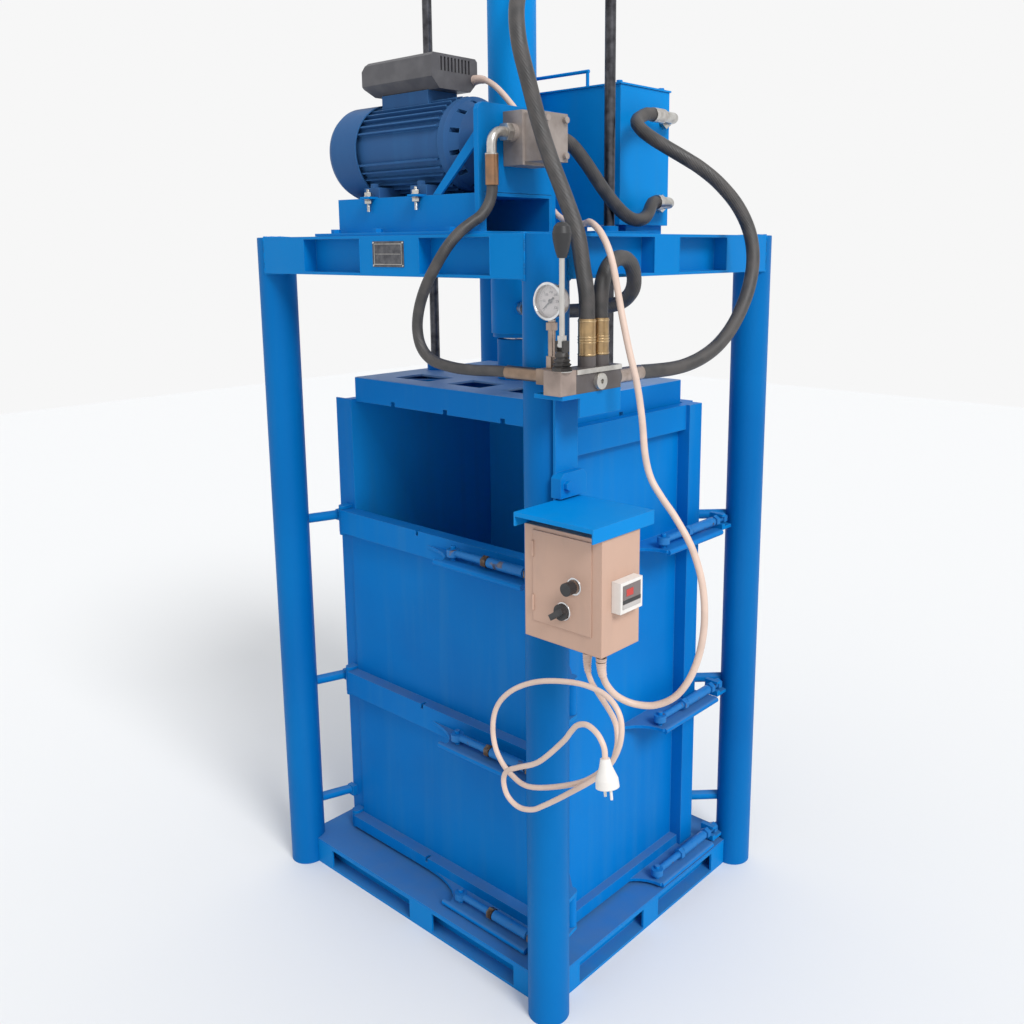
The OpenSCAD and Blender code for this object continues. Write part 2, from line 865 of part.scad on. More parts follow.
// Slotted drive-end shield, bolted to the shell
module drive_shield() {
    r = shell_d / 2;
    color(blue)
        difference() {
            translate([shield_x0 + fit, mot_y, mot_z])
                rotate([0, 90, 0])
                    rotate_extrude()
                        polygon([[shaft_d / 2 + run_fit / 2, 0], [r + 6, 0], [r + 6, 18], [r, 24], [r - 10, 46],
                            [58, 62], [46, shield_len], [shaft_d / 2 + run_fit / 2, shield_len]]);
            for (a = [0:11])
                translate([shield_x0 + 26, mot_y, mot_z])
                    rotate([a * 30 + 15, 0, 0])
                        translate([0, -5, r - 34])
                            cube([20, 10, 60]);
            translate([shield_x0 - 1, mot_y, mot_z])
                rotate([0, 90, 0])
                    cylinder(r = r - 14, h = 26);
        }
}

// Fan cover: a deep drawn cup with a slotted end
module fan_cover() {
    r = motor_d / 2;
    color(blue)
        difference() {
            translate([body_x0 - fit, mot_y, mot_z])
                rotate([0, -90, 0])
                    rotate_extrude()
                        polygon([[r - 3, -26], [r, -26], [r, fan_len - 18], [r - 5, fan_len - 6],
                            [r - 16, fan_len], [0, fan_len], [0, fan_len - 3], [r - 17, fan_len - 3],
                            [r - 7, fan_len - 8], [r - 3, fan_len - 18]]);
            for (ring = [0:3])
                for (a = [0:11])
                    translate([fan_x0 - 5, mot_y, mot_z])
                        rotate([a * 30 + ring * 15, 0, 0])
                            translate([0, -0.15 * (22 + ring * 16), 22 + ring * 16])
                                cube([20, 0.3 * (22 + ring * 16), 7]);
        }
}

// Shaft with cooling fan and the two halves of the coupling
module motor_rotor() {
    color(steel)
        translate([fan_x0 + 16, mot_y, mot_z])
            rotate([0, 90, 0])
                cylinder(d = shaft_d, h = bracket_x - 12 - fan_x0 - 16);
    color(steel)
        translate([body_x0 + 60, mot_y, mot_z])
            rotate([0, 90, 0])
                cylinder(d = stator_bore - 1, h = body_len - 120);
    color(dark)
        translate([fan_x0 + 22, mot_y, mot_z])
            rotate([0, 90, 0]) {
                cylinder(d = 56, h = 40);
                for (a = [0:7])
                    rotate([0, 0, a * 45])
                        translate([26, -1.5, 4])
                            cube([58, 3, 32]);
            }
    color(steel)
        translate([shield_x0 + shield_len + 6, mot_y, mot_z])
            rotate([0, 90, 0])
                difference() {
                    cylinder(d = 74, h = coupling_len);
                    translate([0, 0, coupling_len / 2 - 2.5])
                        difference() {
                            cylinder(d = 80, h = 5);
                            translate([0, 0, -1])
                                cylinder(d = 60, h = 7);
                        }
                }
}

// Capacitor box on the motor's neck: chamfered along its lower edges, slotted at its right end
module capacitor_box() {
    y = mot_y - 60;
    z = mot_z + shell_d / 2 + cap_neck - 8 + fit;
    color(dark)
        difference() {
            translate([cap_x0, y, z])
                rotate([90, 0, 90])
                    linear_extrude(cap_len)
                        polygon([[cap_chamfer, 0], [cap_w - cap_chamfer, 0], [cap_w, cap_chamfer],
                            [cap_w, cap_h - 6], [cap_w - 6, cap_h], [6, cap_h], [0, cap_h - 6],
                            [0, cap_chamfer]]);
            // Bevelled left end
            for (up = [0, 1])
                translate([cap_x0, y - 1, z + up * cap_h])
                    rotate([0, 45, 0])
                        cube([24, 2 * cap_w + 4, 24], center = true);
            // Vent slots along the upper edge of the right end
            for (k = [0:8])
                translate([cap_x0 + cap_len - 7, y + 26 + k * 10, z + cap_h - 34])
                    cube([10, 4.5, 28]);
        }
}

// Upright plate that carries the pump, with its foot over the channel and a flat brace
module pump_bracket() {
    y0 = mot_y - bracket_w / 2;
    z0 = frame_h + base_t + 2 * fit;
    top = mot_z + 66;
    corner = 14;
    color(blue) {
        difference() {
            translate([bracket_x, y0, z0])
                rotate([90, 0, 90])
                    linear_extrude(bracket_t)
                        polygon([[0, 0], [bracket_w, 0], [bracket_w, top - z0 - corner],
                            [bracket_w - corner / 3, top - z0 - corner / 3],
                            [bracket_w - corner, top - z0], [corner, top - z0],
                            [corner / 3, top - z0 - corner / 3], [0, top - z0 - corner]]);
            translate([bracket_x - 1, mot_y, mot_z])
                rotate([0, 90, 0])
                    cylinder(d = 52, h = bracket_t + 2);
            // Cleared above the folded channel
            translate([bracket_x - 1, mot_y - 100 - fit, z0 - 1])
                cube([bracket_t + 2, 200 + 2 * fit, support_h + 1 + fit]);
        }
        // Flat brace from the plate's front edge down to the top of the channel
        translate([bracket_x, y0 + 20, z0])
            rotate([90, 0, 0])
                linear_extrude(6)
                    polygon([[-136, support_h - fit], [-112, support_h - fit], [1, 175], [1, 206]]);
    }
}

// Gear pump: two machined blocks, cover screws and the port bosses
module gear_pump() {
    x0 = bracket_x + bracket_t + fit;
    color([0.60, 0.57, 0.50]) {
        translate([x0, mot_y - 44, mot_z - 52])
            cube([52, 88, 104]);
        translate([x0 + 52, mot_y - 38, mot_z - 46])
            cube([46, 76, 92]);
        translate([x0 + 26, mot_y - 44 - 12, mot_z + 10])
            rotate([-90, 0, 0])
                cylinder(d = 36, h = 112);
        for (sy = [-1, 1], sz = [-1, 1])
            translate([x0 + 98, mot_y + sy * 28, mot_z + sz * 34])
                rotate([0, 90, 0])
                    cylinder(d = 13, h = 8);
        translate([x0 - 11, mot_y, mot_z])
            rotate([0, 90, 0])
                cylinder(d = 51, h = 12);
    }
}

// Welded oil tank on two feet that stand on the deck bearers
module oil_tank() {
    t = 4;
    z = frame_h + fit;
    color(blue) {
        difference() {
            translate([tank_x1 - tank_w, tank_y0, z + tank_foot])
                cube([tank_w, tank_d, tank_h - tank_foot]);
            translate([tank_x1 - tank_w + t, tank_y0 + t, z + tank_foot + t])
                cube([tank_w - 2 * t, tank_d - 2 * t, tank_h]);
        }
        for (x = [tank_x1 - tank_w + 25, tank_x1 - 45])
            translate([x, beam_gap + channel_depth + 3, z])
                cube([30, tank_y0 + tank_d - beam_gap - channel_depth - 7, tank_foot + 1]);
    }
}

handle_x = [tank_x1 - 260, tank_x1 - 98];

// Tank lid with its screws, the filler plug and a bent bar handle along the front edge
module tank_lid() {
    z = frame_h + tank_h + 2 * fit;
    x0 = tank_x1 - tank_w;
    color(blue)
        translate([x0 - 3, tank_y0 - 3, z])
            cube([tank_w + 6, tank_d + 6, 4]);
    color(steel)
        for (x = [x0 + 14, tank_x1 - 14], y = [tank_y0 + 14, tank_y0 + tank_d - 14])
            translate([x, y, z + 4])
                hex_head(13, 6);
    color(dark) {
        translate([tank_x1 - 200, tank_y0 + tank_d - 50, z + 4]) {
            cylinder(d = 44, h = 5);
            translate([0, 0, 5])
                hex_head(30, 9);
        }
        for (x = handle_x)
            translate([x, tank_y0 + 4, z + 3])
                cylinder(d = 8, h = 34);
        translate([handle_x[0] - 4, tank_y0 + 4, z + 37])
            rotate([0, 90, 0])
                cylinder(d = 8, h = handle_x[1] - handle_x[0] + 8);
    }
}

// A bent pipe elbow: comes out along +X, then turns down to -Z by the given bend radius
module elbow(d, bend, straight, drop) {
    rotate([0, 90, 0])
        cylinder(d = d, h = straight);
    translate([straight, 0, -bend])
        rotate([90, 0, 0])
            rotate_extrude(angle = 90)
                translate([bend, 0])
                    circle(d = d);
    translate([straight + bend, 0, -bend - drop])
        cylinder(d = d, h = drop);
}

// Two steel elbows on the tank's right wall
module tank_elbows() {
    x = tank_x1 + fit;
    color(steel) {
        translate([x, tank_y0 + 166, frame_h + 267])
            rotate([0, 90, 0])
                hex_head(36, 10);
        translate([x, tank_y0 + 166, frame_h + 267])
            rotate([90, 0, 0])
                elbow_out(24, 26, 14, 34);
        translate([x, tank_y0 + 154, frame_h + 75])
            rotate([0, 90, 0])
                hex_head(36, 10);
        translate([x, tank_y0 + 154, frame_h + 75])
            rotate([90, 0, 0])
                elbow_out(26, 26, 14, 24);
    }
}

// Elbow whose free leg points along -Y once it is turned
module elbow_out(d, bend, straight, leg) {
    rotate([0, 90, 0])
        cylinder(d = d, h = straight);
    translate([straight, 0, bend])
        rotate([90, 0, 0])
            rotate_extrude(angle = -90)
                translate([bend, 0])
                    circle(d = d);
    translate([straight + bend, 0, bend])
        cylinder(d = d, h = leg);
}

// Hand valve: inlet cover with the gauge's tee, and dark body with plug and port bosses
module valve_block() {
    inlet = 44;
    color([0.58, 0.54, 0.48]) {
        translate([valve_x, valve_y0, valve_z])
            cube([valve_w, inlet - fit, valve_h]);
        // Square tee on the left side, for the pressure hose and the gauge
        translate([valve_x - tee_len, tee_y - 18, tee_z - 14])
            cube([tee_len + 1, 36, 28]);
    }
    color(dark) {
        translate([valve_x, valve_y0 + inlet, valve_z])
            cube([valve_w, valve_len - inlet, valve_h - 8]);
        // Spool cap plate over the body
        translate([valve_x - 3, valve_y0 + inlet, valve_top - 8 - 1])
            cube([valve_w + 6, valve_len - inlet, 9]);
        for (y = [port_cap_y, port_rod_y])
            translate([port_x, y, valve_top - 1])
                cylinder(d = 34, h = port_h + 1);
        translate([port_x, valve_y0 + valve_len - 1, rear_port_z])
            rotate([-90, 0, 0])
                cylinder(d = 32, h = 11);
    }
    // Ribbed boot and the fork that holds the lever's pin
    color(dark)
        translate([lever_x, lever_y, valve_top - 1])
            rotate_extrude()
                polygon([[0, 0], [18, 0], [18, 7], [14, 9], [17, 13], [13, 16], [15, 20], [11, 24],
                    [13, 28], [10, 36], [0, 36]]);
    color(zinc)
        translate([lever_x, lever_y, valve_top]) {
            for (sx = [-1, 1])
                translate([sx * 8 - 2, -8, lever_pin - 12])
                    cube([4, 16, 20]);
            translate([-9, 0, lever_pin])
                rotate([0, 90, 0])
                    cylinder(d = 6, h = 18);
        }
    color(zinc)
        translate([valve_x + valve_w - 1, valve_y0 + 108, valve_z + 18])
            rotate([0, 90, 0])
                difference() {
                    cylinder(d = 30, h = 10);
                    translate([0, 0, 4])
                        cylinder(d = 10, h = 8, $fn = 6);
                }
}

port_x = valve_x + valve_w / 2;
port_cap_y = valve_y0 + 98;
port_rod_y = valve_y0 + 137;
port_h = 20;
rear_port_z = valve_z + 18;

// Hand lever: bored eye on the fork's pin, rod and oval knob
lever_pin = 46;
lever_len = 198;

module valve_lever() {
    translate([lever_x, lever_y, valve_top]) {
        color(steel)
            difference() {
                union() {
                    translate([-5.5, 0, lever_pin])
                        rotate([0, 90, 0])
                            cylinder(d = 14, h = 11);
                    translate([-5.5, -6, lever_pin])
                        cube([11, 12, 17]);
                    translate([0, 0, lever_pin + 15])
                        cylinder(d = 10, h = lever_len - lever_pin - 12);
                }
                translate([-6, 0, lever_pin])
                    rotate([0, 90, 0])
                        cylinder(d = 6 + run_fit, h = 12);
            }
        color(dark)
            translate([0, 0, lever_len])
                rotate_extrude()
                    polygon([[0, 0], [8, 0], [12, 12], [16, 30], [17, 42], [14, 54], [8, 60], [0, 62]]);
    }
}

// Pressure gauge: rim, dial plate, case with a domed back, and stem
module gauge_case() {
    r = gauge_d / 2;
    color(zinc) {
        translate([gauge_x, gauge_y, gauge_z])
            rotate([90, 0, 0])
                rotate_extrude()
                    polygon([[0, -27], [14, -27], [20, -22], [25, -17], [29, -12], [r - 4, -8],
                        [r - 3, 8], [r, 8], [r, 16], [r - 5, 16], [r - 5, 4], [0, 4]]);
        translate([gauge_x, stem_y, valve_top + fit])
            cylinder(d = 14, h = gauge_z - r - valve_top + 6);
        translate([gauge_x, stem_y, valve_top + fit])
            hex_head(19, 22);
        translate([gauge_x, stem_y, gauge_z - r - 18])
            hex_head(19, 14);
    }
    color("white")
        translate([gauge_x, gauge_y - 4, gauge_z])
            rotate([90, 0, 0])
                difference() {
                    cylinder(d = gauge_d - 10, h = 1.5);
                    translate([0, 0, -1])
                        cylinder(d = 3.4, h = 4);
                }
}

// Pointer on its arbor
module gauge_pointer() {
    color(dark)
        translate([gauge_x, gauge_y - 7, gauge_z])
            rotate([90, 0, 0]) {
                cylinder(d = 8, h = 2);
                translate([0, 0, -2.7])
                    cylinder(d = 3.2, h = 4);
                rotate([0, 0, 220])
                    linear_extrude(1.2)
                        polygon([[-10, -2], [23, -0.6], [23, 0.6], [-10, 2]]);
            }
}

// Bracket on the right front post that carries the valve and the control box
module valve_bracket() {
    x = frame_x + fit;
    shelf_z = valve_z - 8 - fit;
    lug_z = box_z + 245;
    color(blue)
        difference() {
            union() {
                translate([x, -py - 32, box_z + 30])
                    cube([6, 65, shelf_z - box_z - 29]);
                translate([x, valve_y0 + 6, shelf_z])
                    cube([valve_x + valve_w - x, valve_len - 6, 8]);
                // Folded edge under the shelf's right side
                translate([valve_x + valve_w - 5, valve_y0 + 54, shelf_z - 36])
                    cube([5, valve_len - 54, 37]);
                // Back plate for the control box
                translate([x, box_y1 + fit, box_z + 40])
                    cube([box_w * 0.6, 6, 110]);
                // Clamp lug above the box, its outer corners cut
                translate([x, -py - 38, lug_z])
                    rotate([90, 0, 90])
                        linear_extrude(24)
                            polygon([[0, 0], [76, 0], [76, 38], [66, 48], [10, 48], [0, 38]]);
            }
            at_posts()
                cylinder(r = pr + 0.15, h = frame_h);
        }
    color(steel)
        translate([x + 24, -py - 21, lug_z + 24])
            rotate([0, 90, 0])
                hex_head(17, 9);
}

// Pressed steel control box, open at the front for its door
module control_box() {
    color(cream)
        difference() {
            translate([box_x, box_y0 + 2.3, box_z])
                cube([box_w, box_d - 2.3, box_h]);
            translate([box_x + box_wall, box_y0 + 1, box_z + box_wall])
                cube([box_w - 2 * box_wall, box_d - box_wall - 1, box_h - 2 * box_wall]);
            // Cable entries in the underside
            for (x = gland_x)
                translate([x, box_y0 + box_d / 2, box_z - 1])
                    cylinder(d = 20 + run_fit, h = 5);
            // Window for the meter in the right side
            translate([box_x + box_w - 3, meter_y, meter_z])
                cube([6, meter_w - 6, meter_h - 6]);
        }
    // Front frame round the door
    color(cream)
        translate([box_x, box_y0 + 2.3, box_z])
            difference() {
                cube([box_w, 1.5, box_h]);
                translate([door_side + 4, -1, door_low + 4])
                    cube([box_w - 2 * door_side - 8, 4, door_h - 8]);
            }
}

gland_x = [box_x + 106, box_x + 138];
door_side = 21.5;
door_low = 34;
door_h = box_h - 42;
meter_w = 64;
meter_h = 57;
meter_d = 20;
meter_y = box_y0 + 33;
meter_z = box_z + 81;

// Door of the control box with its hinge knuckles on the left edge
module box_door() {
    color(cream)
        difference() {
            union() {
                translate([box_x + door_side, box_y0, box_z + door_low])
                    cube([box_w - 2 * door_side, 2, door_h]);
                for (z = [door_low + 20, door_low + door_h - 50])
                    translate([box_x + door_side + 1, box_y0 - 1, box_z + z])
                        cylinder(d = 5, h = 30);
            }
            translate([button_x, box_y0 - 1, button_z])
                rotate([-90, 0, 0])
                    cylinder(d = 10 + run_fit, h = 4);
            translate([selector_x, box_y0 - 1, selector_z])
                rotate([-90, 0, 0])
                    cylinder(d = 10 + run_fit, h = 4);
        }
}

button_x = box_x + 119.5;
button_z = box_z + 120;
selector_x = box_x + 94.5;
selector_z = box_z + 68;

// Push button: cap on its plunger, in front of the door
module start_button() {
    color(dark)
        translate([button_x, box_y0, button_z])
            rotate([90, 0, 0]) {
                translate([0, 0, 6])
                    cylinder(d = 24, h = 18);
                translate([0, 0, -16])
                    cylinder(d = 10, h = 23);
            }
}

// Selector: round body with a thumb bar, on its spindle
module selector_knob() {
    color(dark)
        translate([selector_x, box_y0, selector_z])
            rotate([90, 0, 0]) {
                translate([0, 0, 0.5])
                    cylinder(d = 30, h = 9);
                translate([0, 0, -14])
                    cylinder(d = 10, h = 15);
                rotate([0, 0, 35])
                    translate([-17, -5.5, 9])
                        cube([34, 11, 13]);
            }
}

// Panel meter clipped into the right side of the box
module meter() {
    x = box_x + box_w;
    color("white")
        translate([x + fit, meter_y - 3, meter_z - 3])
            difference() {
                cube([meter_d, meter_w, meter_h]);
                translate([meter_d - 3, 8, 8])
                    cube([4, meter_w - 16, meter_h - 16]);
            }
    color(dark)
        translate([x + meter_d - 3 + 2 * fit, meter_y + 5.3, meter_z + 5.3])
            cube([1, meter_w - 16.6, meter_h - 16.6]);
}

// Rain hood over the box: a level plate with turned-down edges on two blocks
module box_hood() {
    x0 = box_x;
    y0 = box_y0 - 27;
    w = box_w + 4;
    d = 177;
    z = box_z + box_h + fit;
    lift = 26;
    color(blue) {
        translate([x0, y0, z + lift - 3])
            cube([w, d, 3]);
        translate([x0, y0, z + lift - 8])
            cube([w, 2, 6]);
        for (x = [x0, x0 + w - 3])
            translate([x, y0, z])
                cube([3, d, lift - 1]);
        for (x = [x0 + 12, x0 + w - 32])
            translate([x, box_y0 + 20, z])
                cube([20, box_d - 30, lift - 2]);
    }
}

// Compression glands under the control box
module cable_glands() {
    color(dark)
        for (x = gland_x)
            translate([x, box_y0 + box_d / 2, box_z]) {
                translate([0, 0, -9 - fit])
                    hex_head(25, 9);
                translate([0, 0, -26])
                    cylinder(d1 = 15, d2 = 22, h = 17);
                translate([0, 0, -10])
                    cylinder(d = 20, h = 16);
            }
}

cord_d = 10;
cable_d = 13;

// Straight crimped hose end along a direction, from point p
module ferrule(p, dir, d, len) {
    translate(p)
        rotate([0, acos(dir[2] / norm(dir)), atan2(dir[1], dir[0])])
            cylinder(d = d, h = len);
}

// Hose end between two points, face to face with what it joins
module hose_end(p, q, d) {
    ferrule(p, q - p, d, norm(q - p));
}

// Steel and brass hose ends, each face to face with its hose
module hose_fittings() {
    color(steel) {
        // Pressure hose: swept elbow out of the pump's front port, and the end at the valve
        translate([pump_port_x, mot_y - 56 - fit, mot_z + 10])
            rotate([90, 0, 0])
                hex_head(32, 14);
        translate([pump_port_x, mot_y - 68, mot_z + 10])
            rotate([0, 0, -90])
                elbow(20, 26, 10, 16);
        hose_end(pump_elbow_end, pressure_route[0], 26);
        hose_end(last(pressure_route), valve_front, 26);
        // Suction end at the pump's rear port
        hose_end([pump_port_x, mot_y + 56 + fit, mot_z + 10], suction_route[0], 32);
        // Return end at the valve
        hose_end(valve_rear, return_route[0], 30);
        // Ends at the two tank elbows
        hose_end(last(return_route), return_elbow_end, 32);
        hose_end(last(suction_route), suction_elbow_end, 34);
        // Nipples on the cylinder
        hose_end(cap_port, cap_route[0], 32);
        hose_end(rod_port, last(rod_route), 32);
    }
    color([0.72, 0.58, 0.30]) {
        hose_end([port_x, port_cap_y, valve_top + port_h + fit], last(cap_route), 33);
        hose_end([port_x, port_rod_y, valve_top + port_h + fit], rod_route[0], 33);
    }
}

function last(v) = v[len(v) - 1];
pump_port_x = bracket_x + bracket_t + fit + 26;
valve_front = [valve_x - tee_len - fit, tee_y, tee_z];
pump_elbow_end = [pump_port_x, mot_y - 68 - 36, mot_z + 10 - 42 - fit];
return_elbow_end = [tank_x1 + fit + 40, tank_y0 + 166 - 60 - fit, frame_h + 267];
suction_elbow_end = [tank_x1 + fit + 40, tank_y0 + 154 - 50 - fit, frame_h + 75];
valve_rear = [port_x, valve_y0 + valve_len + 10 + fit, rear_port_z];
cap_port = [(barrel_d / 2 + 16 + fit) * cos(30), -(barrel_d / 2 + 16 + fit) * sin(30),
    barrel_z + barrel_len - 52];
rod_port = [(barrel_d / 2 + 12 + fit) * cos(30), -(barrel_d / 2 + 12 + fit) * sin(30), barrel_z + 62];

// Routes of the hoses and cables, chosen by hand at this height of the top frame. With another
// height their points above "high" move along with it, and those below "low" stay.
drawn_h = 1650;
function raised(route, low, high) =
    [for (p = route) p + [0, 0, (frame_h - drawn_h) * min(1, max(0, (p[2] - low) / (high - low)))]];
pressure_route = raised([
    [288.3, -367, 1743], [288.3, -367, 1734], [287.5, -371, 1716], [285.5, -381, 1698],
    [283, -396, 1683], [279, -416, 1671], [272, -441, 1653], [262, -463, 1627], [246, -477, 1594],
    [222, -485, 1552], [204, -488, 1509], [197, -488, 1468], [208, -488, 1432], [236, -485, 1409],
    [280, -475, 1398], [324, -459, 1394], [350, -448, 1394], [370, -440, 1394], [384, -438, 1394],
    [393, -438, 1394]], 0, 1);
cap_route = raised([
    [88, -50.8, 2198], [104, -60, 2198], [134, -84, 2200], [176, -126, 2199], [228, -180, 2190],
    [278, -238, 2166], [322, -306, 2122], [352, -360, 2064], [378, -384, 1994], [396, -376, 1916],
    [412, -366, 1845], [434, -360, 1782], [466, -360, 1718], [500, -364, 1650], [516, -367, 1588],
    [526, -369, 1545], [528, -369, 1520], [528, -369, 1496]], 0, 1);
rod_route = raised([
    [528, -330, 1496], [528, -330, 1512], [528, -329, 1534], [527, -322, 1562], [524, -304, 1587],
    [521, -275, 1602], [517, -243, 1603], [511, -214, 1591], [503, -193, 1568], [491, -179, 1545],
    [471, -168, 1527], [442, -158, 1513], [404, -148, 1504], [360, -138, 1497], [310, -127, 1491],
    [255, -113, 1487], [200, -95, 1484], [150, -77, 1482], [104, -60, 1482],
    [83.1, -48, 1482]], 0, 1);
return_route = raised([
    [528, -205, 1382], [528, -195, 1382], [532, -160, 1381], [543, -115, 1382], [552, -75, 1387],
    [561, -32, 1399], [568, 12, 1419], [572, 55, 1449], [573, 96, 1490], [572, 130, 1540],
    [565, 155, 1598], [550, 162, 1655], [527, 148, 1710], [498, 120, 1756], [468, 92, 1789],
    [440, 67, 1812], [412, 47, 1832], [384, 34, 1851], [357, 32, 1869], [334, 42, 1886],
    [318, 62, 1899], [311, 87, 1909], [310.3, 108, 1916], [310.3, 121, 1917],
    [310.3, 130, 1917]], 0, 1);
suction_route = raised([
    [288.3, -171, 1845], [288.3, -163, 1845], [289, -147, 1842], [291.5, -129, 1833],
    [295, -111, 1818], [300, -90, 1796], [305, -67, 1770], [310, -43, 1744], [316, -18, 1719],
    [322, 6, 1699], [327, 28, 1687], [330, 49, 1683], [330, 69, 1685], [327, 88, 1692],
    [322, 105, 1703], [316, 120, 1714], [311.5, 133, 1722], [310.3, 143, 1725],
    [310.3, 150, 1725]], 0, 1);
cable_route = raised([
    [75.3, -199, 1978], [92, -199, 1978], [112, -198, 1973], [136, -194, 1958], [162, -188, 1932],
    [188, -180, 1898], [206, -168, 1852], [215, -154, 1796], [226, -143, 1735], [250, -138, 1698],
    [294, -146, 1676], [345, -172, 1670], [390, -206, 1671], [430, -246, 1672], [464, -284, 1671],
    [496, -312, 1666], [525, -328, 1652], [547, -334, 1626], [560, -334, 1592], [571, -334, 1547],
    [586, -337, 1494], [604, -340, 1437], [622, -340, 1379], [634, -340, 1316], [642, -340, 1252],
    [656, -340, 1210], [681, -340, 1178], [713, -340, 1144], [750, -340, 1092], [774, -342, 1026],
    [780, -346, 950], [766, -352, 876], [738, -362, 822], [702, -377, 796], [668, -396, 794],
    [643, -416, 808], [630, -432, 832], [626, -441, 856], [625.5, -444, 875],
    [625.5, -444, 889]], 1200, 1400);
cord_route = [
    [593.5, -444, 889], [593.5, -445, 872], [598, -448, 855], [609, -453, 842], [627, -462, 834],
    [696, -500, 817], [717, -514, 796], [721, -523, 769], [709, -527, 741], [645, -528, 684],
    [530, -528, 631], [475, -528, 637], [440, -528, 667], [428, -528, 708], [434, -528, 752],
    [458, -528, 790], [500, -527, 824], [560, -526, 852], [640, -526, 871], [700, -529, 870],
    [734, -533, 848], [743, -537, 812], [732, -540, 770], [700, -542, 724], [630, -543, 663],
    [572, -544, 617], [543, -545, 598], [511, -547, 592], [485, -549, 606], [477, -551, 634],
    [489, -554, 660], [522, -557, 681], [576, -561, 713], [636, -565, 774], [660, -571, 804],
    [679, -576, 824], [705, -582, 835], [732, -588, 830], [748, -591, 813], [751, -592, 795]];
hose_a = 22;
hose_b = 30;
hose_d = 29;

// A round hose swept along its route: rings of points square to the path, closed at both ends
function tangent(r, i) =
    let (a = r[max(i - 1, 0)], b = r[min(i + 1, len(r) - 1)]) (b - a) / norm(b - a);
// Rings keep their start near the one before, so the skin never twists
function frames(r, i = 0, prev = undef) =
    i >= len(r) ? [] :
    let (t = tangent(r, i),
        guess = is_undef(prev) ? (abs(t[2]) < 0.9 ? [0, 0, 1] : [0, 1, 0]) : prev,
        flat = guess - (guess * t) * t,
        a = flat / norm(flat))
    concat([a], frames(r, i + 1, a));

module hose(route, d, n = 8) {
    m = len(route);
    start = frames(route);
    pts = [for (i = [0:m - 1])
        let (t = tangent(route, i), a = start[i], b = cross(t, a))
            for (k = [0:n - 1])
                route[i] + d / 2 * (cos(360 * k / n) * a + sin(360 * k / n) * b)];
    walls = [for (i = [0:m - 2], k = [0:n - 1])
        [(i + 1) * n + k, (i + 1) * n + (k + 1) % n, i * n + (k + 1) % n, i * n + k]];
    polyhedron(pts, concat([[for (k = [0:n - 1]) k]], walls,
        [[for (k = [0:n - 1]) (m - 1) * n + n - 1 - k]]));
}

module pressure_hose() {
    color(dark)
        hose(pressure_route, hose_a);
}

module cap_end_hose() {
    color(dark)
        hose(cap_route, hose_b);
}

module rod_end_hose() {
    color(dark)
        hose(rod_route, hose_b);
}

module return_hose() {
    color(dark)
        hose(return_route, hose_d);
}

module suction_hose() {
    color(dark)
        hose(suction_route, hose_d);
}

module motor_cable() {
    color(cream)
        hose(cable_route, cable_d);
}

module supply_cord() {
    color(cream)
        hose(cord_route, cord_d);
}

// Mains plug on the end of the supply cord: tapered body, flange and pins
module mains_plug() {
    dir = last(cord_route) - cord_route[len(cord_route) - 2];
    color("white")
        translate(last(cord_route))
            rotate([0, acos(dir[2] / norm(dir)), atan2(dir[1], dir[0])]) {
                rotate_extrude()
                    polygon([[0, 0.2], [8, 0.2], [11, 14], [19, 34], [20, 48], [0, 48]]);
                for (x = [-9.5, 9.5])
                    translate([x, 0, 47])
                        cylinder(d = 4.8, h = 20);
            }
}

base_rails_front_rear();
base_rails_sides();
floor_plate();
corner_posts();
top_rails_front_rear();
top_rails_sides();
deck_beams();
left_wall();
rear_wall();
wall_arms();
front_door();
side_door();
front_hinge();
side_hinge();
front_lugs();
side_lugs();
front_bolt(0);  // front_bolt_top
front_bolt(1);  // front_bolt_middle
front_bolt(2);  // front_bolt_bottom
side_bolt(0);  // side_bolt_top
side_bolt(1);  // side_bolt_middle
side_bolt(2);  // side_bolt_bottom
platen();
ram_rod();
guide_rods();
guide_bushes();
cylinder_barrel();
cylinder_gland();
motor_base();
motor_body();
drive_shield();
fan_cover();
motor_rotor();
capacitor_box();
pump_bracket();
gear_pump();
oil_tank();
tank_lid();
tank_elbows();
valve_block();
valve_lever();
gauge_case();
gauge_pointer();
valve_bracket();
control_box();
box_door();
box_hood();
start_button();
selector_knob();
meter();
cable_glands();
hose_fittings();
pressure_hose();
cap_end_hose();
rod_end_hose();
return_hose();
suction_hose();
motor_cable();
supply_cord();
mains_plug();
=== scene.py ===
"""Looks of a vertical hydraulic recycling baler, in metres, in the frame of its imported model."""

import math

import bmesh
import bpy
from mathutils import Matrix, Vector


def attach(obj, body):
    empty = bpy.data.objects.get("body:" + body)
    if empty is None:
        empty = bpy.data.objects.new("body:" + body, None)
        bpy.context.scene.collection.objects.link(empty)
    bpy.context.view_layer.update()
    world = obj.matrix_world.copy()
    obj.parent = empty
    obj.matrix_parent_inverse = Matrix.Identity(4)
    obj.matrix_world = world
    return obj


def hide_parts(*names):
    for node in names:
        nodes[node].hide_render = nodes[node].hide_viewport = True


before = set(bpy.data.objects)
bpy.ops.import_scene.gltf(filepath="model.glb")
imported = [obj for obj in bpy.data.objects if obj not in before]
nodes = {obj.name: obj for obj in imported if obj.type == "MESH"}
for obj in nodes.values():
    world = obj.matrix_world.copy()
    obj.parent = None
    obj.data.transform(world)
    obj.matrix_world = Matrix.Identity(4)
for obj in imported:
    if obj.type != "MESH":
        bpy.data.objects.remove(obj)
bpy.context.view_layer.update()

# Camera. A hand-held shot from the front right corner, at eye height, looking a little down
# at the latches; the picture is a crop from a larger frame, hence the small shift.
camera_place = (1.690, -1.798, 1.624)
camera_pitch = math.radians(90 - 10.99)
camera_roll = math.radians(-0.25)
camera_turn = math.radians(41.5)
photo_size = 1024
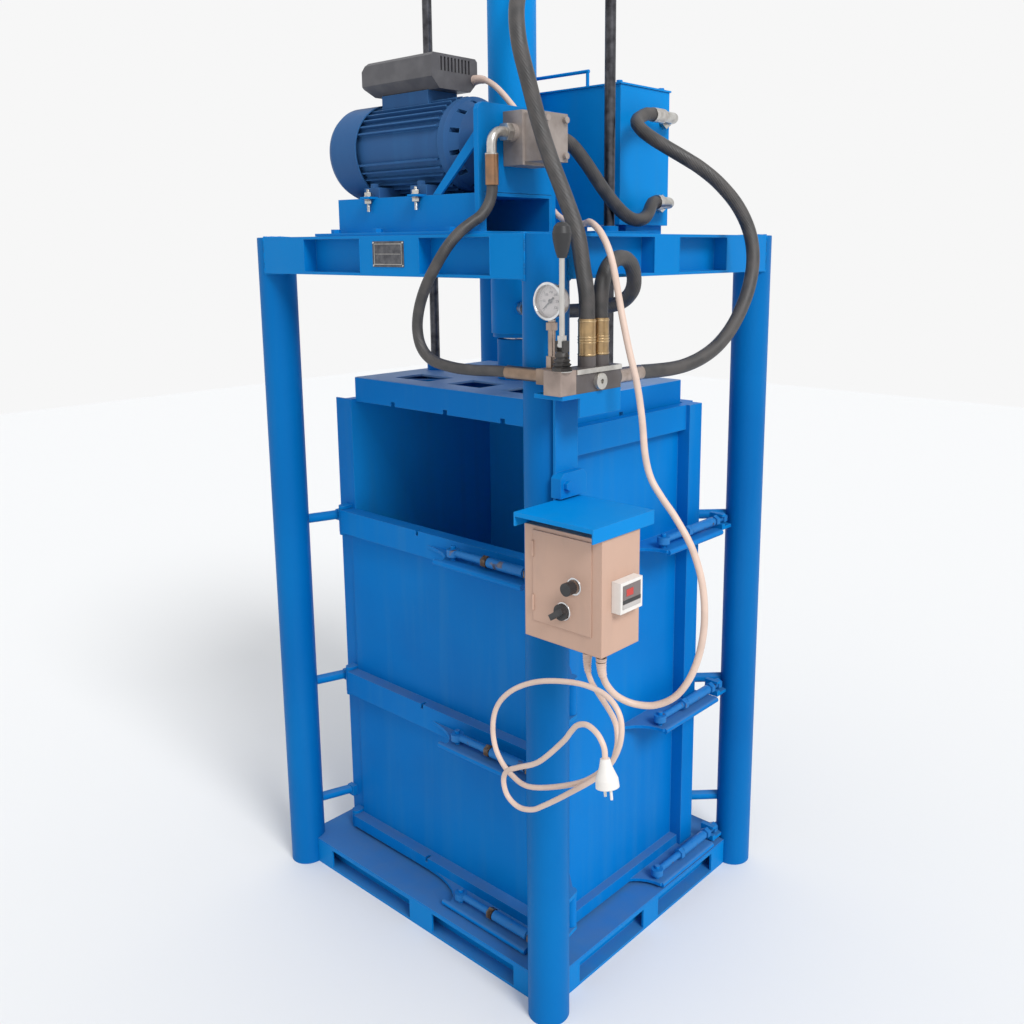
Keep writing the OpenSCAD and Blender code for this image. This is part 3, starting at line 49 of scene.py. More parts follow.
focal_px = 1002.0
middle_px = (545.6, 442.0)

camera_data = bpy.data.cameras.new("camera")
camera_data.sensor_width = 36
camera_data.lens = camera_data.sensor_width * focal_px / photo_size
camera_data.shift_x = (photo_size / 2 - middle_px[0]) / photo_size
camera_data.shift_y = (middle_px[1] - photo_size / 2) / photo_size
camera = bpy.data.objects.new("camera", camera_data)
camera.matrix_world = (Matrix.Translation(camera_place)
                       @ Matrix.Rotation(camera_turn, 4, "Z")
                       @ Matrix.Rotation(camera_pitch, 4, "X")
                       @ Matrix.Rotation(camera_roll, 4, "Z"))
bpy.context.scene.collection.objects.link(camera)
bpy.context.scene.camera = camera
bpy.context.scene.view_settings.view_transform = "Standard"

# Hoses and cables. Black wire-braided hydraulic hose in three sizes, a cream motor cable and
# a cream supply cord; each runs through the points of its route on one smooth curve.
routes = {
    "pressure_hose": (0.022, [
        (288.3, -367, 1743), (288.3, -367, 1734), (287.5, -371, 1716), (285.5, -381, 1698),
        (283, -396, 1683), (279, -416, 1671), (272, -441, 1653), (262, -463, 1627),
        (246, -477, 1594), (222, -485, 1552), (204, -488, 1509), (197, -488, 1468),
        (208, -488, 1432), (236, -485, 1409), (280, -475, 1398), (324, -459, 1394),
        (350, -448, 1394), (370, -440, 1394), (384, -438, 1394), (393, -438, 1394)]),
    "cap_end_hose": (0.030, [
        (88, -50.8, 2198), (104, -60, 2198), (134, -84, 2200), (176, -126, 2199),
        (228, -180, 2190), (278, -238, 2166), (322, -306, 2122), (352, -360, 2064),
        (378, -384, 1994), (396, -376, 1916), (412, -366, 1845), (434, -360, 1782),
        (466, -360, 1718), (500, -364, 1650), (516, -367, 1588), (526, -369, 1545),
        (528, -369, 1520), (528, -369, 1496)]),
    "rod_end_hose": (0.030, [
        (528, -330, 1496), (528, -330, 1512), (528, -329, 1534), (527, -322, 1562),
        (524, -304, 1587), (521, -275, 1602), (517, -243, 1603), (511, -214, 1591),
        (503, -193, 1568), (491, -179, 1545), (471, -168, 1527), (442, -158, 1513),
        (404, -148, 1504), (360, -138, 1497), (310, -127, 1491), (255, -113, 1487),
        (200, -95, 1484), (150, -77, 1482), (104, -60, 1482), (83.1, -48, 1482)]),
    "return_hose": (0.029, [
        (528, -205, 1382), (528, -195, 1382), (532, -160, 1381), (543, -115, 1382),
        (552, -75, 1387), (561, -32, 1399), (568, 12, 1419), (572, 55, 1449), (573, 96, 1490),
        (572, 130, 1540), (565, 155, 1598), (550, 162, 1655), (527, 148, 1710), (498, 120, 1756),
        (468, 92, 1789), (440, 67, 1812), (412, 47, 1832), (384, 34, 1851), (357, 32, 1869),
        (334, 42, 1886), (318, 62, 1899), (311, 87, 1909), (310.3, 108, 1916), (310.3, 121, 1917),
        (310.3, 130, 1917)]),
    "suction_hose": (0.029, [
        (288.3, -171, 1845), (288.3, -163, 1845), (289, -147, 1842), (291.5, -129, 1833),
        (295, -111, 1818), (300, -90, 1796), (305, -67, 1770), (310, -43, 1744), (316, -18, 1719),
        (322, 6, 1699), (327, 28, 1687), (330, 49, 1683), (330, 69, 1685), (327, 88, 1692),
        (322, 105, 1703), (316, 120, 1714), (311.5, 133, 1722), (310.3, 143, 1725),
        (310.3, 150, 1725)]),
    "motor_cable": (0.013, [
        (75.3, -199, 1978), (92, -199, 1978), (112, -198, 1973), (136, -194, 1958),
        (162, -188, 1932), (188, -180, 1898), (206, -168, 1852), (215, -154, 1796),
        (226, -143, 1735), (250, -138, 1698), (294, -146, 1676), (345, -172, 1670),
        (390, -206, 1671), (430, -246, 1672), (464, -284, 1671), (496, -312, 1666),
        (525, -328, 1652), (547, -334, 1626), (560, -334, 1592), (571, -334, 1547),
        (586, -337, 1494), (604, -340, 1437), (622, -340, 1379), (634, -340, 1316),
        (642, -340, 1252), (656, -340, 1210), (681, -340, 1178), (713, -340, 1144),
        (750, -340, 1092), (774, -342, 1026), (780, -346, 950), (766, -352, 876),
        (738, -362, 822), (702, -377, 796), (668, -396, 794), (643, -416, 808), (630, -432, 832),
        (626, -441, 856), (625.5, -444, 875), (625.5, -444, 889)]),
    "supply_cord": (0.010, [
        (593.5, -444, 889), (593.5, -445, 872), (598, -448, 855), (609, -453, 842),
        (627, -462, 834), (696, -500, 817), (717, -514, 796), (721, -523, 769), (709, -527, 741),
        (645, -528, 684), (530, -528, 631), (475, -528, 637), (440, -528, 667), (428, -528, 708),
        (434, -528, 752), (458, -528, 790), (500, -527, 824), (560, -526, 852), (640, -526, 871),
        (700, -529, 870), (734, -533, 848), (743, -537, 812), (732, -540, 770), (700, -542, 724),
        (630, -543, 663), (572, -544, 617), (543, -545, 598), (511, -547, 592), (485, -549, 606),
        (477, -551, 634), (489, -554, 660), (522, -557, 681), (576, -561, 713), (636, -565, 774),
        (660, -571, 804), (679, -576, 824), (705, -582, 835), (732, -588, 830), (748, -591, 813),
        (751, -592, 795)]),
}


def smooth_line(points, steps=6):
    """Points of a curve that passes through all the given ones, a few between each two."""
    line = []
    for i in range(len(points) - 1):
        before, a, b = points[max(i - 1, 0)], points[i], points[i + 1]
        after = points[min(i + 2, len(points) - 1)]
        for k in range(steps):
            t = k / steps
            line.append(0.5 * (2 * a + (b - before) * t
                               + (2 * before - 5 * a + 4 * b - after) * t ** 2
                               + (3 * a - before - 3 * b + after) * t ** 3))
    return line + [points[-1]]


def line_length(line):
    return sum((b - a).length for a, b in zip(line, line[1:]))


cords, lines = {}, {}
for name, (diameter, route) in routes.items():
    line = smooth_line([Vector(p) / 1000 for p in route])
    curve = bpy.data.curves.new(name + "_line", "CURVE")
    curve.dimensions = "3D"
    curve.bevel_depth = 1.0
    curve.bevel_resolution = 4
    curve.use_fill_caps = True
    spline = curve.splines.new("POLY")
    spline.points.add(len(line) - 1)
    for point, place in zip(spline.points, line):
        point.co = (*place, 1)
        point.radius = diameter / 2
    spline.use_smooth = True
    piece = bpy.data.objects.new(name + "_skin", curve)
    bpy.context.scene.collection.objects.link(piece)
    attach(piece, "frame")
    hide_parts(name)
    cords[name], lines[name] = piece, line
    plug = [nodes["mains_plug"]] if name == "supply_cord" else []
    line_length(line)
    "stiff" if "hose" in name else "medium"


class Shade:
    """A shader socket that takes part in sums: each sum adds its node to the material."""

    def __init__(self, tree, socket):
        self.tree = tree
        self.socket = socket

    def node(self, kind, settings=None, inputs=None, out=0):
        """A node with its settings, the values or links of its sockets, and one output."""
        fresh = self.tree.nodes.new(kind)
        for key, value in (settings or {}).items():
            if key == "stops":
                ramp = fresh.color_ramp
                while len(ramp.elements) < len(value):
                    ramp.elements.new(0.5)
                for element, (place, tone) in zip(ramp.elements, value):
                    element.position = place
                    element.color = (tone, tone, tone, 1)
            else:
                setattr(fresh, key, value)
        for key, value in (inputs or {}).items():
            if isinstance(value, Shade):
                self.tree.links.new(value.socket, fresh.inputs[key])
            else:
                fresh.inputs[key].default_value = value
        return Shade(self.tree, fresh.outputs[out]) if len(fresh.outputs) else None

    def math(self, operation, a, b=0.0):
        return self.node("ShaderNodeMath", {"operation": operation}, {0: a, 1: b})

    def __add__(self, other):
        return self.math("ADD", self, other)

    def __sub__(self, other):
        return self.math("SUBTRACT", self, other)

    def __rsub__(self, other):
        return self.math("SUBTRACT", other, self)

    def __mul__(self, other):
        return self.math("MULTIPLY", self, other)

    def __gt__(self, other):
        return self.math("GREATER_THAN", self, other)

    def __lt__(self, other):
        return self.math("LESS_THAN", self, other)

    __radd__ = __add__
    __rmul__ = __mul__

    def between(self, low, high):
        return (self > low) * (self < high)

    def mixed(self, a, b):
        """The colour a where this is 0 and b where it is 1."""
        return self.node("ShaderNodeMix", {"data_type": "RGBA"}, {0: self, 6: a, 7: b}, out=2)

    def ramp(self, *stops):
        """Grey from black to white over the given (place, tone) stops."""
        return self.node("ShaderNodeValToRGB", {"stops": stops}, {0: self})

    def speckle(self, scale, detail=4.0, stretch=(1, 1, 1)):
        """Cloudy noise over the surface, in features of about 1 / scale metres."""
        spread = self.node("ShaderNodeMapping", {}, {"Vector": self, "Scale": stretch})
        return self.node("ShaderNodeTexNoise", {},
                         {"Vector": spread, "Scale": scale, "Detail": detail})

    def axis(self, name):
        """One coordinate, X, Y or Z."""
        return self.node("ShaderNodeSeparateXYZ", {}, {0: self}, out="XYZ".index(name))


def begin(name):
    """A new material and its surface coordinates: metres in the object's own frame."""
    material = bpy.data.materials.new(name)
    material.use_nodes = True
    tree = material.node_tree
    tree.nodes.clear()
    return material, Shade(tree, tree.nodes.new("ShaderNodeTexCoord").outputs["Object"])


def finish_with(place, colour, roughness, metallic=0.0, bump=None, bump_depth=0.0003,
                edge_radius=0.0, gloss=0.5):
    """Closes a material with its colour, gloss and relief, its edges rounded a little."""
    sockets = {"Base Color": colour, "Roughness": roughness, "Metallic": metallic,
               "Specular IOR Level": gloss}
    normal = None
    if edge_radius:
        normal = place.node("ShaderNodeBevel", {"samples": 4}, {"Radius": edge_radius})
    if bump is not None:
        relief = {"Height": bump, "Distance": bump_depth}
        if normal is not None:
            relief["Normal"] = normal
        normal = place.node("ShaderNodeBump", {}, relief)
    if normal is not None:
        sockets["Normal"] = normal
    shader = place.node("ShaderNodeBsdfPrincipled", {}, sockets)
    place.node("ShaderNodeOutputMaterial", {}, {"Surface": shader})


def paint_nodes(material, *names):
    """Gives the CAD nodes a material."""
    for name in names:
        slots = nodes[name].data.materials
        slots.clear()
        slots.append(material)


# Frame, walls, press and power pack. Welded channel, plate and pipe in bright blue enamel:
# a little uneven, streaked, dusty on what faces up below a metre; lighter in specks along its
# edges, rubbed paint and painted highlight; lighter on the chamber's inner faces, painted light.
# Painted light: a lighter blue for the chamber walls' inner faces, which get little light.
painted_light_blue = (0.01, 0.30, 0.78, 1)
streak_blue = (0.04, 0.21, 0.44, 1)
dust_blue = (0.09, 0.17, 0.31, 1)
# Edges: rubbed paint and painted highlight, in a lighter blue.
worn_and_highlight_blue = (0.08, 0.27, 0.55, 1)


def blue_enamel(name, dark, light, wear, dirt, lit_side=None):
    """Enamel between two tones; the side named, as "-Y", gets painted light: a lighter blue on the
    chamber's inner faces.
    """
    material, place = begin(name)
    facing = place.node("ShaderNodeTexCoord", {}, {}, out=1)
    rounded = place.node("ShaderNodeBevel", {"samples": 4}, {"Radius": 0.003})
    true_normal = place.node("ShaderNodeNewGeometry", {}, {}, out=1)
    edge = 1.0 - place.node("ShaderNodeVectorMath", {"operation": "DOT_PRODUCT"},
                            {0: rounded, 1: true_normal}, out=1)
    patch = place.speckle(9, 6)
    worn_through = 0.62 - 0.2 * wear
    # Specks along the edges, lighter: rubbed paint and painted highlight.
    worn_and_highlight_edge = (edge * 5.0 * place.speckle(80, 5)).ramp((worn_through, 0), (worn_through + 0.28, 1))
    cloud = place.speckle(2.2, 5).ramp((0.3, 0), (0.7, 1)).mixed(dark, light)
    # Painted light: the named inner side is mixed towards the lighter blue.
    if lit_side:
        inner = facing.axis(lit_side[-1]) * (-1 if lit_side[0] == "-" else 1) > 0.5
        cloud = (inner * 0.8).mixed(cloud, painted_light_blue)
    runs = place.speckle(26, 5, (1, 1, 0.07)).ramp((0.5, 0), (0.85, 1)) * dirt
    streaked = (runs * 0.6).mixed(cloud, streak_blue)
    low_down = place.axis("Z").ramp((0.75, 1), (1.0, 0))
    dusty = (facing.axis("Z") > 0.6) * low_down * (place.speckle(14, 6) + dirt - 0.15)
    dulled = (dusty * 0.6).mixed(streaked, dust_blue)
    colour = (worn_and_highlight_edge * 0.55).mixed(dulled, worn_and_highlight_blue)
    rough = 0.38 + patch * 0.16 + dusty * 0.3 + worn_and_highlight_edge * 0.1
    peel = place.speckle(420, 2) + place.speckle(60, 3) * 0.6
    finish_with(place, colour, rough, bump=peel, bump_depth=0.00025, edge_radius=0.0012,
                gloss=0.08)
    return material


post_blue = blue_enamel("post_enamel",
                        (0.0, 0.118, 0.375, 1), (0.0, 0.148, 0.435, 1), 0.4, 0.2)
clean_blue = blue_enamel("blue_enamel",
                         (0.0, 0.168, 0.480, 1), (0.0, 0.208, 0.570, 1), 0.5, 0.25)
# Painted light: a lighter copy of the enamel for the barrel, the tank and its lid and the box
# hood, standing in for the light they catch from above.
top_lit_blue = blue_enamel("top_lit_enamel",
                          (0.0, 0.215, 0.590, 1), (0.0, 0.262, 0.690, 1), 0.5, 0.25)
worn_look = (0.0, 0.145, 0.465, 1), (0.0, 0.190, 0.560, 1), 0.9, 0.5
worn_blue = blue_enamel("worn_blue_enamel", *worn_look)
rear_blue = blue_enamel("rear_wall_enamel", *worn_look, "-Y")
left_blue = blue_enamel("left_wall_enamel", *worn_look, "+X")
motor_blue = blue_enamel("motor_enamel",
                         (0.026, 0.085, 0.215, 1), (0.036, 0.120, 0.290, 1), 0.8, 0.3)
paint_nodes(clean_blue, "base_rails_front_rear", "base_rails_sides", "deck_beams", "wall_arms",
            "front_hinge", "side_hinge", "front_lugs", "side_lugs", "guide_bushes",
            "motor_base", "pump_bracket", "valve_bracket")
paint_nodes(top_lit_blue, "cylinder_barrel", "oil_tank", "tank_lid", "box_hood")
paint_nodes(worn_blue, "floor_plate", "front_door", "side_door", "platen")
paint_nodes(rear_blue, "rear_wall")
paint_nodes(left_blue, "left_wall")
paint_nodes(motor_blue, "motor_body", "drive_shield", "fan_cover")


# Top frame and posts. Round pipe runs from the floor to the top face; channels with their open
# side out end against it, and flat plates close them at the corners and in the middle.
post_x, post_y, post_radius, post_bore = 435, 377, 44.5, 38.5
frame_low, frame_top, flange_thick, flange_depth = 1566, 1650, 6, 34
front_face, side_face = post_y + post_radius, post_x + post_radius
front_edges, side_edges = (-261, -58, 131, 333), (-317, -91, -1, 187)


def slab(shape, axis, low, high, outline):
    """Adds a flat plate: its outline in the two other axes and its two faces, in millimetres."""
    ends = []
    for level in (low, high):
        ends.append([shape.verts.new(Vector({"X": (level, u, v), "Y": (u, level, v),
                                             "Z": (u, v, level)}[axis]) / 1000)
                     for u, v in outline])
    shape.faces.new(ends[0])
    shape.faces.new(ends[1])
    for i in range(len(outline)):
        shape.faces.new((ends[0][i], ends[0][i - 1], ends[1][i - 1], ends[1][i]))


def turned(shape, start, direction, profile, sides):
    """Adds a form from a lathe: (radius, distance) pairs in millimetres along a direction. A
    profile that comes back to its first pair is a ring."""
    turn = Vector(direction).to_track_quat("Z", "Y")
    ring_shaped = profile[0] == profile[-1]
    rows = []
    for radius, distance in profile[:-1] if ring_shaped else profile:
        rows.append([])
        for k in range(sides if radius else 1):
            angle = 2 * math.pi * k / sides
            spot = turn @ Vector((radius * math.cos(angle), radius * math.sin(angle), distance))
            rows[-1].append(shape.verts.new((Vector(start) + spot) / 1000))
    for a, b in zip(rows, rows[1:] + (rows[:1] if ring_shaped else [])):
        for k in range(sides):
            corners = [a[(k - 1) % len(a)], a[k % len(a)], b[k % len(b)], b[(k - 1) % len(b)]]
            if len(a) > 1 or len(b) > 1:
                shape.faces.new(list(dict.fromkeys(corners)))


def made(name, shape, body, finish, edge=0.0, sharp=35):
    """The piece itself: smooth but for its sharp edges, in its material, riding on its body."""
    bmesh.ops.recalc_face_normals(shape, faces=shape.faces)
    mesh = bpy.data.meshes.new(name)
    shape.to_mesh(mesh)
    shape.free()
    mesh.polygons.foreach_set("use_smooth", [True] * len(mesh.polygons))
    mesh.set_sharp_from_angle(angle=math.radians(sharp))
    mesh.materials.append(finish)
    piece = bpy.data.objects.new(name, mesh)
    bpy.context.scene.collection.objects.link(piece)
    if edge:
        rounding = piece.modifiers.new("edges", "BEVEL")
        rounding.width = edge / 1000
        rounding.segments = 2
        rounding.limit_method = "ANGLE"
    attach(piece, body)
    return piece


def round_the_post(first, last, steps=10):
    """Points on the post at +x, -y between two angles in degrees, seen from above."""
    angles = [math.radians(first + (last - first) * k / steps) for k in range(steps + 1)]
    return [(post_x + post_radius * math.cos(angle), -post_y + post_radius * math.sin(angle))
            for angle in angles]


front_cut = round_the_post(254.4, 185.8)
side_cut = round_the_post(15.6, 84.2)
front_flange = ([(-423, -front_face), (423, -front_face)] + front_cut
                + [(-x, y) for x, y in reversed(front_cut)])
side_flange = ([(side_face, -365)] + side_cut + [(x, -y) for x, y in reversed(side_cut)]
               + [(side_face, 365)])


def ring(centre, ahead, radius, sides):
    """Points on a circle that faces along a direction."""
    turn = ahead.to_track_quat("Z", "Y")
    angles = [2 * math.pi * k / sides for k in range(sides)]
    return [centre + turn @ Vector((math.cos(a), math.sin(a), 0)) * radius for a in angles]


def tube(shape, rings):
    """Adds a closed skin through rings of equally many points, in metres."""
    rows = [[shape.verts.new(point) for point in points] for points in rings]
    for a, b in zip(rows, rows[1:]):
        for k in range(len(a)):
            shape.faces.new((a[k - 1], a[k], b[k], b[k - 1]))
    shape.faces.new(rows[0])
    shape.faces.new(rows[-1])


def weld(shape, line, radius, spacing=1.1, sides=8):
    """Adds a weld bead along points in millimetres: a rounded, rippled run of filler."""
    spots, rings = [], []
    for a, b in zip(line, line[1:]):
        count = max(1, round((b - a).length / spacing))
        spots += [a.lerp(b, k / count) for k in range(count)]
    spots.append(line[-1])
    for i, spot in enumerate(spots):
        ahead = (spots[min(i + 1, len(spots) - 1)] - spots[max(i - 1, 0)]).normalized()
        ripple = radius * (1 + 0.16 * math.sin(i * 1.6) + 0.10 * math.sin(i * 0.37))
        ripple *= 0.3 if i in (0, len(spots) - 1) else 1
        rings.append([point / 1000 for point in ring(spot, ahead, ripple, sides)])
    tube(shape, rings)


def bar(x0, y0, x1, y1):
    return [(x0, y0), (x1, y0), (x1, y1), (x0, y1)]


rails = bmesh.new()
front_ends, side_ends = (-423, *front_edges, 423), (-365, *side_edges, 365)
front_web, side_web = front_face - flange_depth, side_face - flange_depth
uprights = [bar(-391, -front_web, 391, flange_thick - front_web),
            bar(side_web - flange_thick, -333.5, side_web, 333.5)]
uprights += [bar(x0, -front_face, x1, -front_web)
             for x0, x1 in zip(front_ends[::2], front_ends[1::2])]
uprights += [bar(side_web, y0, side_face, y1) for y0, y1 in zip(side_ends[::2], side_ends[1::2])]
for sign in (1, -1):
    for flange in (front_flange, side_flange):
        for low in (frame_low, frame_top - flange_thick):
            slab(rails, "Z", low, low + flange_thick, [(sign * x, sign * y) for x, y in flange])
    for outline in uprights:
        slab(rails, "Z", frame_low + flange_thick, frame_top - flange_thick,
             [(sign * x, sign * y) for x, y in outline])
made("top_frame", rails, "frame", clean_blue)

beads = bmesh.new()
corner_runs = [(2.4, [(x, y, z) for x, y in cut])
               for cut in (front_cut, side_cut) for z in (frame_low - 0.6, frame_top)]
corner_runs += [(2.0, [(x, y, z) for z in (frame_low + 1, frame_top - 1)])
                for x, y in ((421.4, -420.6), (478.6, -363.6))]
for mirror_x, mirror_y in ((1, 1), (1, -1), (-1, 1), (-1, -1)):
    for radius, run in corner_runs:
        weld(beads, [Vector((mirror_x * x, mirror_y * y, z)) for x, y, z in run], radius)
plate_levels = (frame_low + flange_thick, frame_top - flange_thick)
for sign in (1, -1):
    for x in front_edges:
        weld(beads, [Vector((sign * x, sign * -421.2, z)) for z in plate_levels], 1.1)
    for y in side_edges:
        weld(beads, [Vector((sign * 479.2, sign * y, z)) for z in plate_levels], 1.1)
made("top_frame_welds", beads, "frame", clean_blue, sharp=70)

pipes = bmesh.new()
for x in (-post_x, post_x):
    for y in (-post_y, post_y):
        turned(pipes, (x, y, 0), (0, 0, 1), [
            (0, 200), (post_bore, 200), (post_bore, 0), (post_radius, 0),
            (post_radius, frame_top - 1.5), (post_radius - 1.5, frame_top), (0, frame_top)], 96)
posts = made("round_posts", pipes, "frame", post_blue)
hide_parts("corner_posts", "top_rails_front_rear", "top_rails_sides")


# Platen top. A flame-cut plate with six windows, welded over the platen's ribs and rim, with
# the pale dust that settles on it.
dusty_blue = blue_enamel("dusty_enamel",
                         (0.110, 0.255, 0.500, 1), (0.220, 0.345, 0.550, 1), 0.8, 0.5)
plate_x = [-328.5, -244, -122, -56, 56, 122, 244, 328.5]
plate_y = [-238.5, -180, -92, 92, 180, 238.5]
plate_z = [1300.5, 1306.5]
cell = ((0, 0), (1, 0), (1, 1), (0, 1))
cell_edges = {(-1, 0): ((0, 0), (0, 1)), (1, 0): ((1, 0), (1, 1)),
              (0, -1): ((0, 0), (1, 0)), (0, 1): ((0, 1), (1, 1))}
corners = {}
cover = bmesh.new()
for i, x in enumerate(plate_x):
    for j, y in enumerate(plate_y):
        for k, z in enumerate(plate_z):
            corners[i, j, k] = cover.verts.new(Vector((x, y, z)) / 1000)


def filled(i, j):
    """Whether this cell of the plate's grid is steel and not a window or outside."""
    inside = 0 <= i < len(plate_x) - 1 and 0 <= j < len(plate_y) - 1
    return inside and not (i % 2 == 1 and j % 2 == 1)


for i in range(len(plate_x) - 1):
    for j in range(len(plate_y) - 1):
        if filled(i, j):
            for k in (0, 1):
                cover.faces.new([corners[i + a, j + b, k] for a, b in cell])
            for (beside, behind), ((a, b), (c, d)) in cell_edges.items():
                if not filled(i + beside, j + behind):
                    cover.faces.new([corners[i + a, j + b, 0], corners[i + c, j + d, 0],
                                     corners[i + c, j + d, 1], corners[i + a, j + b, 1]])
made("platen_top_plate", cover, "platen", dusty_blue, edge=0.8)


# Swing bolts. Rods, eyes and spacer tubes painted over with the doors and rubbed since; on the
# front door the two nuts that are turned each time are bare steel, brown with old grease.
def latch_finish(name, along, bare_places, rubbing):
    """Rubbed paint on a rod along an axis, bare between each two places in metres."""
    material, place = begin(name)
    blotch = place.speckle(70, 6)
    dark = blotch.ramp((0.38, 0), (0.62, 1))
    run = place.axis(along)
    bare = place.speckle(38, 5).ramp((0.70 - rubbing, 0), (0.76 - rubbing, 1)) * 0.8
    for low, high in bare_places:
        bare = bare.math("MAXIMUM", bare, run.between(low, high))
    paint = blotch.mixed((0.0, 0.135, 0.40, 1), (0.02, 0.185, 0.50, 1))
    steel = dark.mixed((0.20, 0.155, 0.12, 1), (0.075, 0.045, 0.03, 1))
    thread = place.node("ShaderNodeTexWave", {"bands_direction": "DIAGONAL"},
                        {"Vector": place, "Scale": 150.0, "Distortion": 0.4})
    finish_with(place, bare.mixed(paint, steel), 0.4 + dark * 0.25, bare * 0.7,
                bump=bare * thread * 0.5 + blotch, bump_depth=0.0006, edge_radius=0.001, gloss=0.3)
    return material


front_nuts = ((0.205, 0.2215), (0.332, 0.348))
paint_nodes(latch_finish("front_latch_finish", "X", front_nuts, 0.06),
            "front_bolt_top", "front_bolt_middle", "front_bolt_bottom")
paint_nodes(latch_finish("side_latch_finish", "Y", (), 0.08),
            "side_bolt_top", "side_bolt_middle", "side_bolt_bottom")


# Rods. A hard-chromed piston rod, long enough to stay in its cylinder at full stroke, with a
# painted collar on the platen; dark guide rods with a film of oil.
def bare_metal(name, light, dark, roughness, grain=60):
    material, place = begin(name)
    stain = place.speckle(grain, 6)
    colour = stain.ramp((0.35, 0), (0.7, 1)).mixed(light, dark)
    finish_with(place, colour, roughness + stain * 0.15, 1.0, bump=place.speckle(500, 3),
                bump_depth=0.0001, edge_radius=0.0008)
    return material


zinc_plate = bare_metal("zinc_plate", (0.62, 0.61, 0.58, 1), (0.40, 0.38, 0.35, 1), 0.28)
bright_chrome = bare_metal("bright_chrome", (0.80, 0.80, 0.80, 1), (0.62, 0.62, 0.63, 1), 0.12)
brass = bare_metal("brass", (0.62, 0.46, 0.26, 1), (0.44, 0.30, 0.16, 1), 0.24)
paint_nodes(zinc_plate, "tank_elbows")
paint_nodes(clean_blue, "cylinder_gland")
rod_radius, rod_foot, rod_length = 30, 1265, 885
shaft = bmesh.new()
turned(shaft, (0, 0, rod_foot), (0, 0, 1), [
    (0, 0), (rod_radius, 0), (rod_radius, rod_length - 2), (rod_radius - 2, rod_length),
    (0, rod_length)], 72)
piston_rod = made("piston_rod", shaft, "platen", bright_chrome)
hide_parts("ram_rod")
collar = bmesh.new()
turned(collar, (0, 0, 1306.6), (0, 0, 1), [
    (30.2, 0), (43, 0), (43, 97.5), (41.5, 99), (30.2, 99), (30.2, 0)], 72)
made("rod_collar", collar, "platen", clean_blue)
paint_nodes(bare_metal("oiled_steel", (0.10, 0.10, 0.11, 1), (0.04, 0.04, 0.045, 1), 0.3),
            "guide_rods", "motor_rotor")


# Hose ends. Brass ferrules on the two big hoses, a copper-coloured one below the pump's elbow,
# dull bronze at the valve's inlet, and zinc-plated steel for the rest.
def hose_end_metals():
    material, place = begin("hose_end_metals")
    stain = place.speckle(60, 6)
    x, y, z = place.axis("X"), place.axis("Y"), place.axis("Z")
    ferrule = z.between(1.4281, 1.497) * x.between(0.50, 0.55) * (y < -0.305)
    copper = z.between(1.742, 1.800) * x.between(0.26, 0.31) * (y < -0.30)
    bronze = (y < -0.42) * (x > 0.38)
    back_end = z.between(1.35, 1.42) * (x > 0.50) * (y > -0.30)
    tone = ferrule.mixed((0.60, 0.58, 0.55, 1), (0.47, 0.32, 0.165, 1))
    tone = back_end.mixed(tone, (0.47, 0.385, 0.34, 1))
    tone = copper.mixed(tone, (0.36, 0.20, 0.115, 1))
    tone = bronze.mixed(tone, (0.30, 0.215, 0.16, 1))
    colour = (stain.ramp((0.4, 0), (0.7, 1)) * 0.5).mixed(tone, (0.16, 0.12, 0.09, 1))
    finish_with(place, colour, 0.25 + stain * 0.2, 1.0, bump=place.speckle(500, 3),
                bump_depth=0.0001, edge_radius=0.0008)
    return material


paint_nodes(hose_end_metals(), "hose_fittings")
crimps = bmesh.new()
for y in (-369, -330):
    for low, radius in ((1429, 17.4), (1451, 17.3), (1456, 17.3), (1461, 17.3), (1490, 17.2)):
        turned(crimps, (528, y, low), (0, 0, 1), [
            (16.3, 0), (radius - 0.5, 0), (radius, 0.6), (radius, 2.6), (radius - 0.5, 3.2),
            (16.3, 3.2), (16.3, 0)], 48)
made("crimp_rings", crimps, "frame", brass)


# Pump and hand valve. Machined castings with an oily film; behind its beige inlet cover the
# valve is blacked steel, with a bright hexagon plug, a bronze tee and a rubber lever boot.
def casting():
    material, place = begin("pump_casting")
    oil = place.speckle(22, 6)
    colour = oil.ramp((0.4, 0), (0.7, 1)).mixed((0.36, 0.31, 0.28, 1), (0.22, 0.185, 0.165, 1))
    finish_with(place, colour, 0.42 + oil * 0.25, 0.35, bump=place.speckle(300, 4),
                bump_depth=0.0003, edge_radius=0.0012)
    return material


def valve_metals():
    material, place = begin("valve_metals")
    oil = place.speckle(22, 6)
    x, y, z = place.axis("X"), place.axis("Y"), place.axis("Z")
    boot = (z > 1.4085) * (y < -0.42) * (x > 0.51)
    tone = (y < -0.4232).mixed((0.110, 0.098, 0.098, 1), (0.36, 0.28, 0.24, 1))
    tone = (x < 0.5079).mixed(tone, (0.30, 0.215, 0.16, 1))
    plug = x > 0.5485
    tone = plug.mixed(tone, (0.66, 0.64, 0.60, 1))
    tone = boot.mixed(tone, (0.028, 0.027, 0.027, 1))
    colour = (oil.ramp((0.4, 0), (0.7, 1)) * 0.45).mixed(tone, (0.07, 0.055, 0.045, 1))
    finish_with(place, colour, 0.36 + oil * 0.25, plug * 0.7 + 0.25 * (1.0 - boot),
                bump=place.speckle(300, 4), bump_depth=0.0003, edge_radius=0.0012)
    return material


paint_nodes(casting(), "gear_pump")
paint_nodes(valve_metals(), "valve_block")


# Valve lever. A bright rod in a zinc fork, under a black ball-ended grip.
def lever_parts():
    material, place = begin("lever_rod_and_grip")
    stain = place.speckle(60, 5)
    grip = place.axis("Z") > 1.6055
    colour = grip.mixed(stain.mixed((0.66, 0.65, 0.63, 1), (0.50, 0.48, 0.45, 1)),
                        (0.02, 0.02, 0.022, 1))
    finish_with(place, colour, 0.28 + stain * 0.15 + grip * 0.1, 1.0 - grip,
                bump=place.speckle(500, 3), bump_depth=0.0001, edge_radius=0.0008)
    return material


paint_nodes(lever_parts(), "valve_lever")


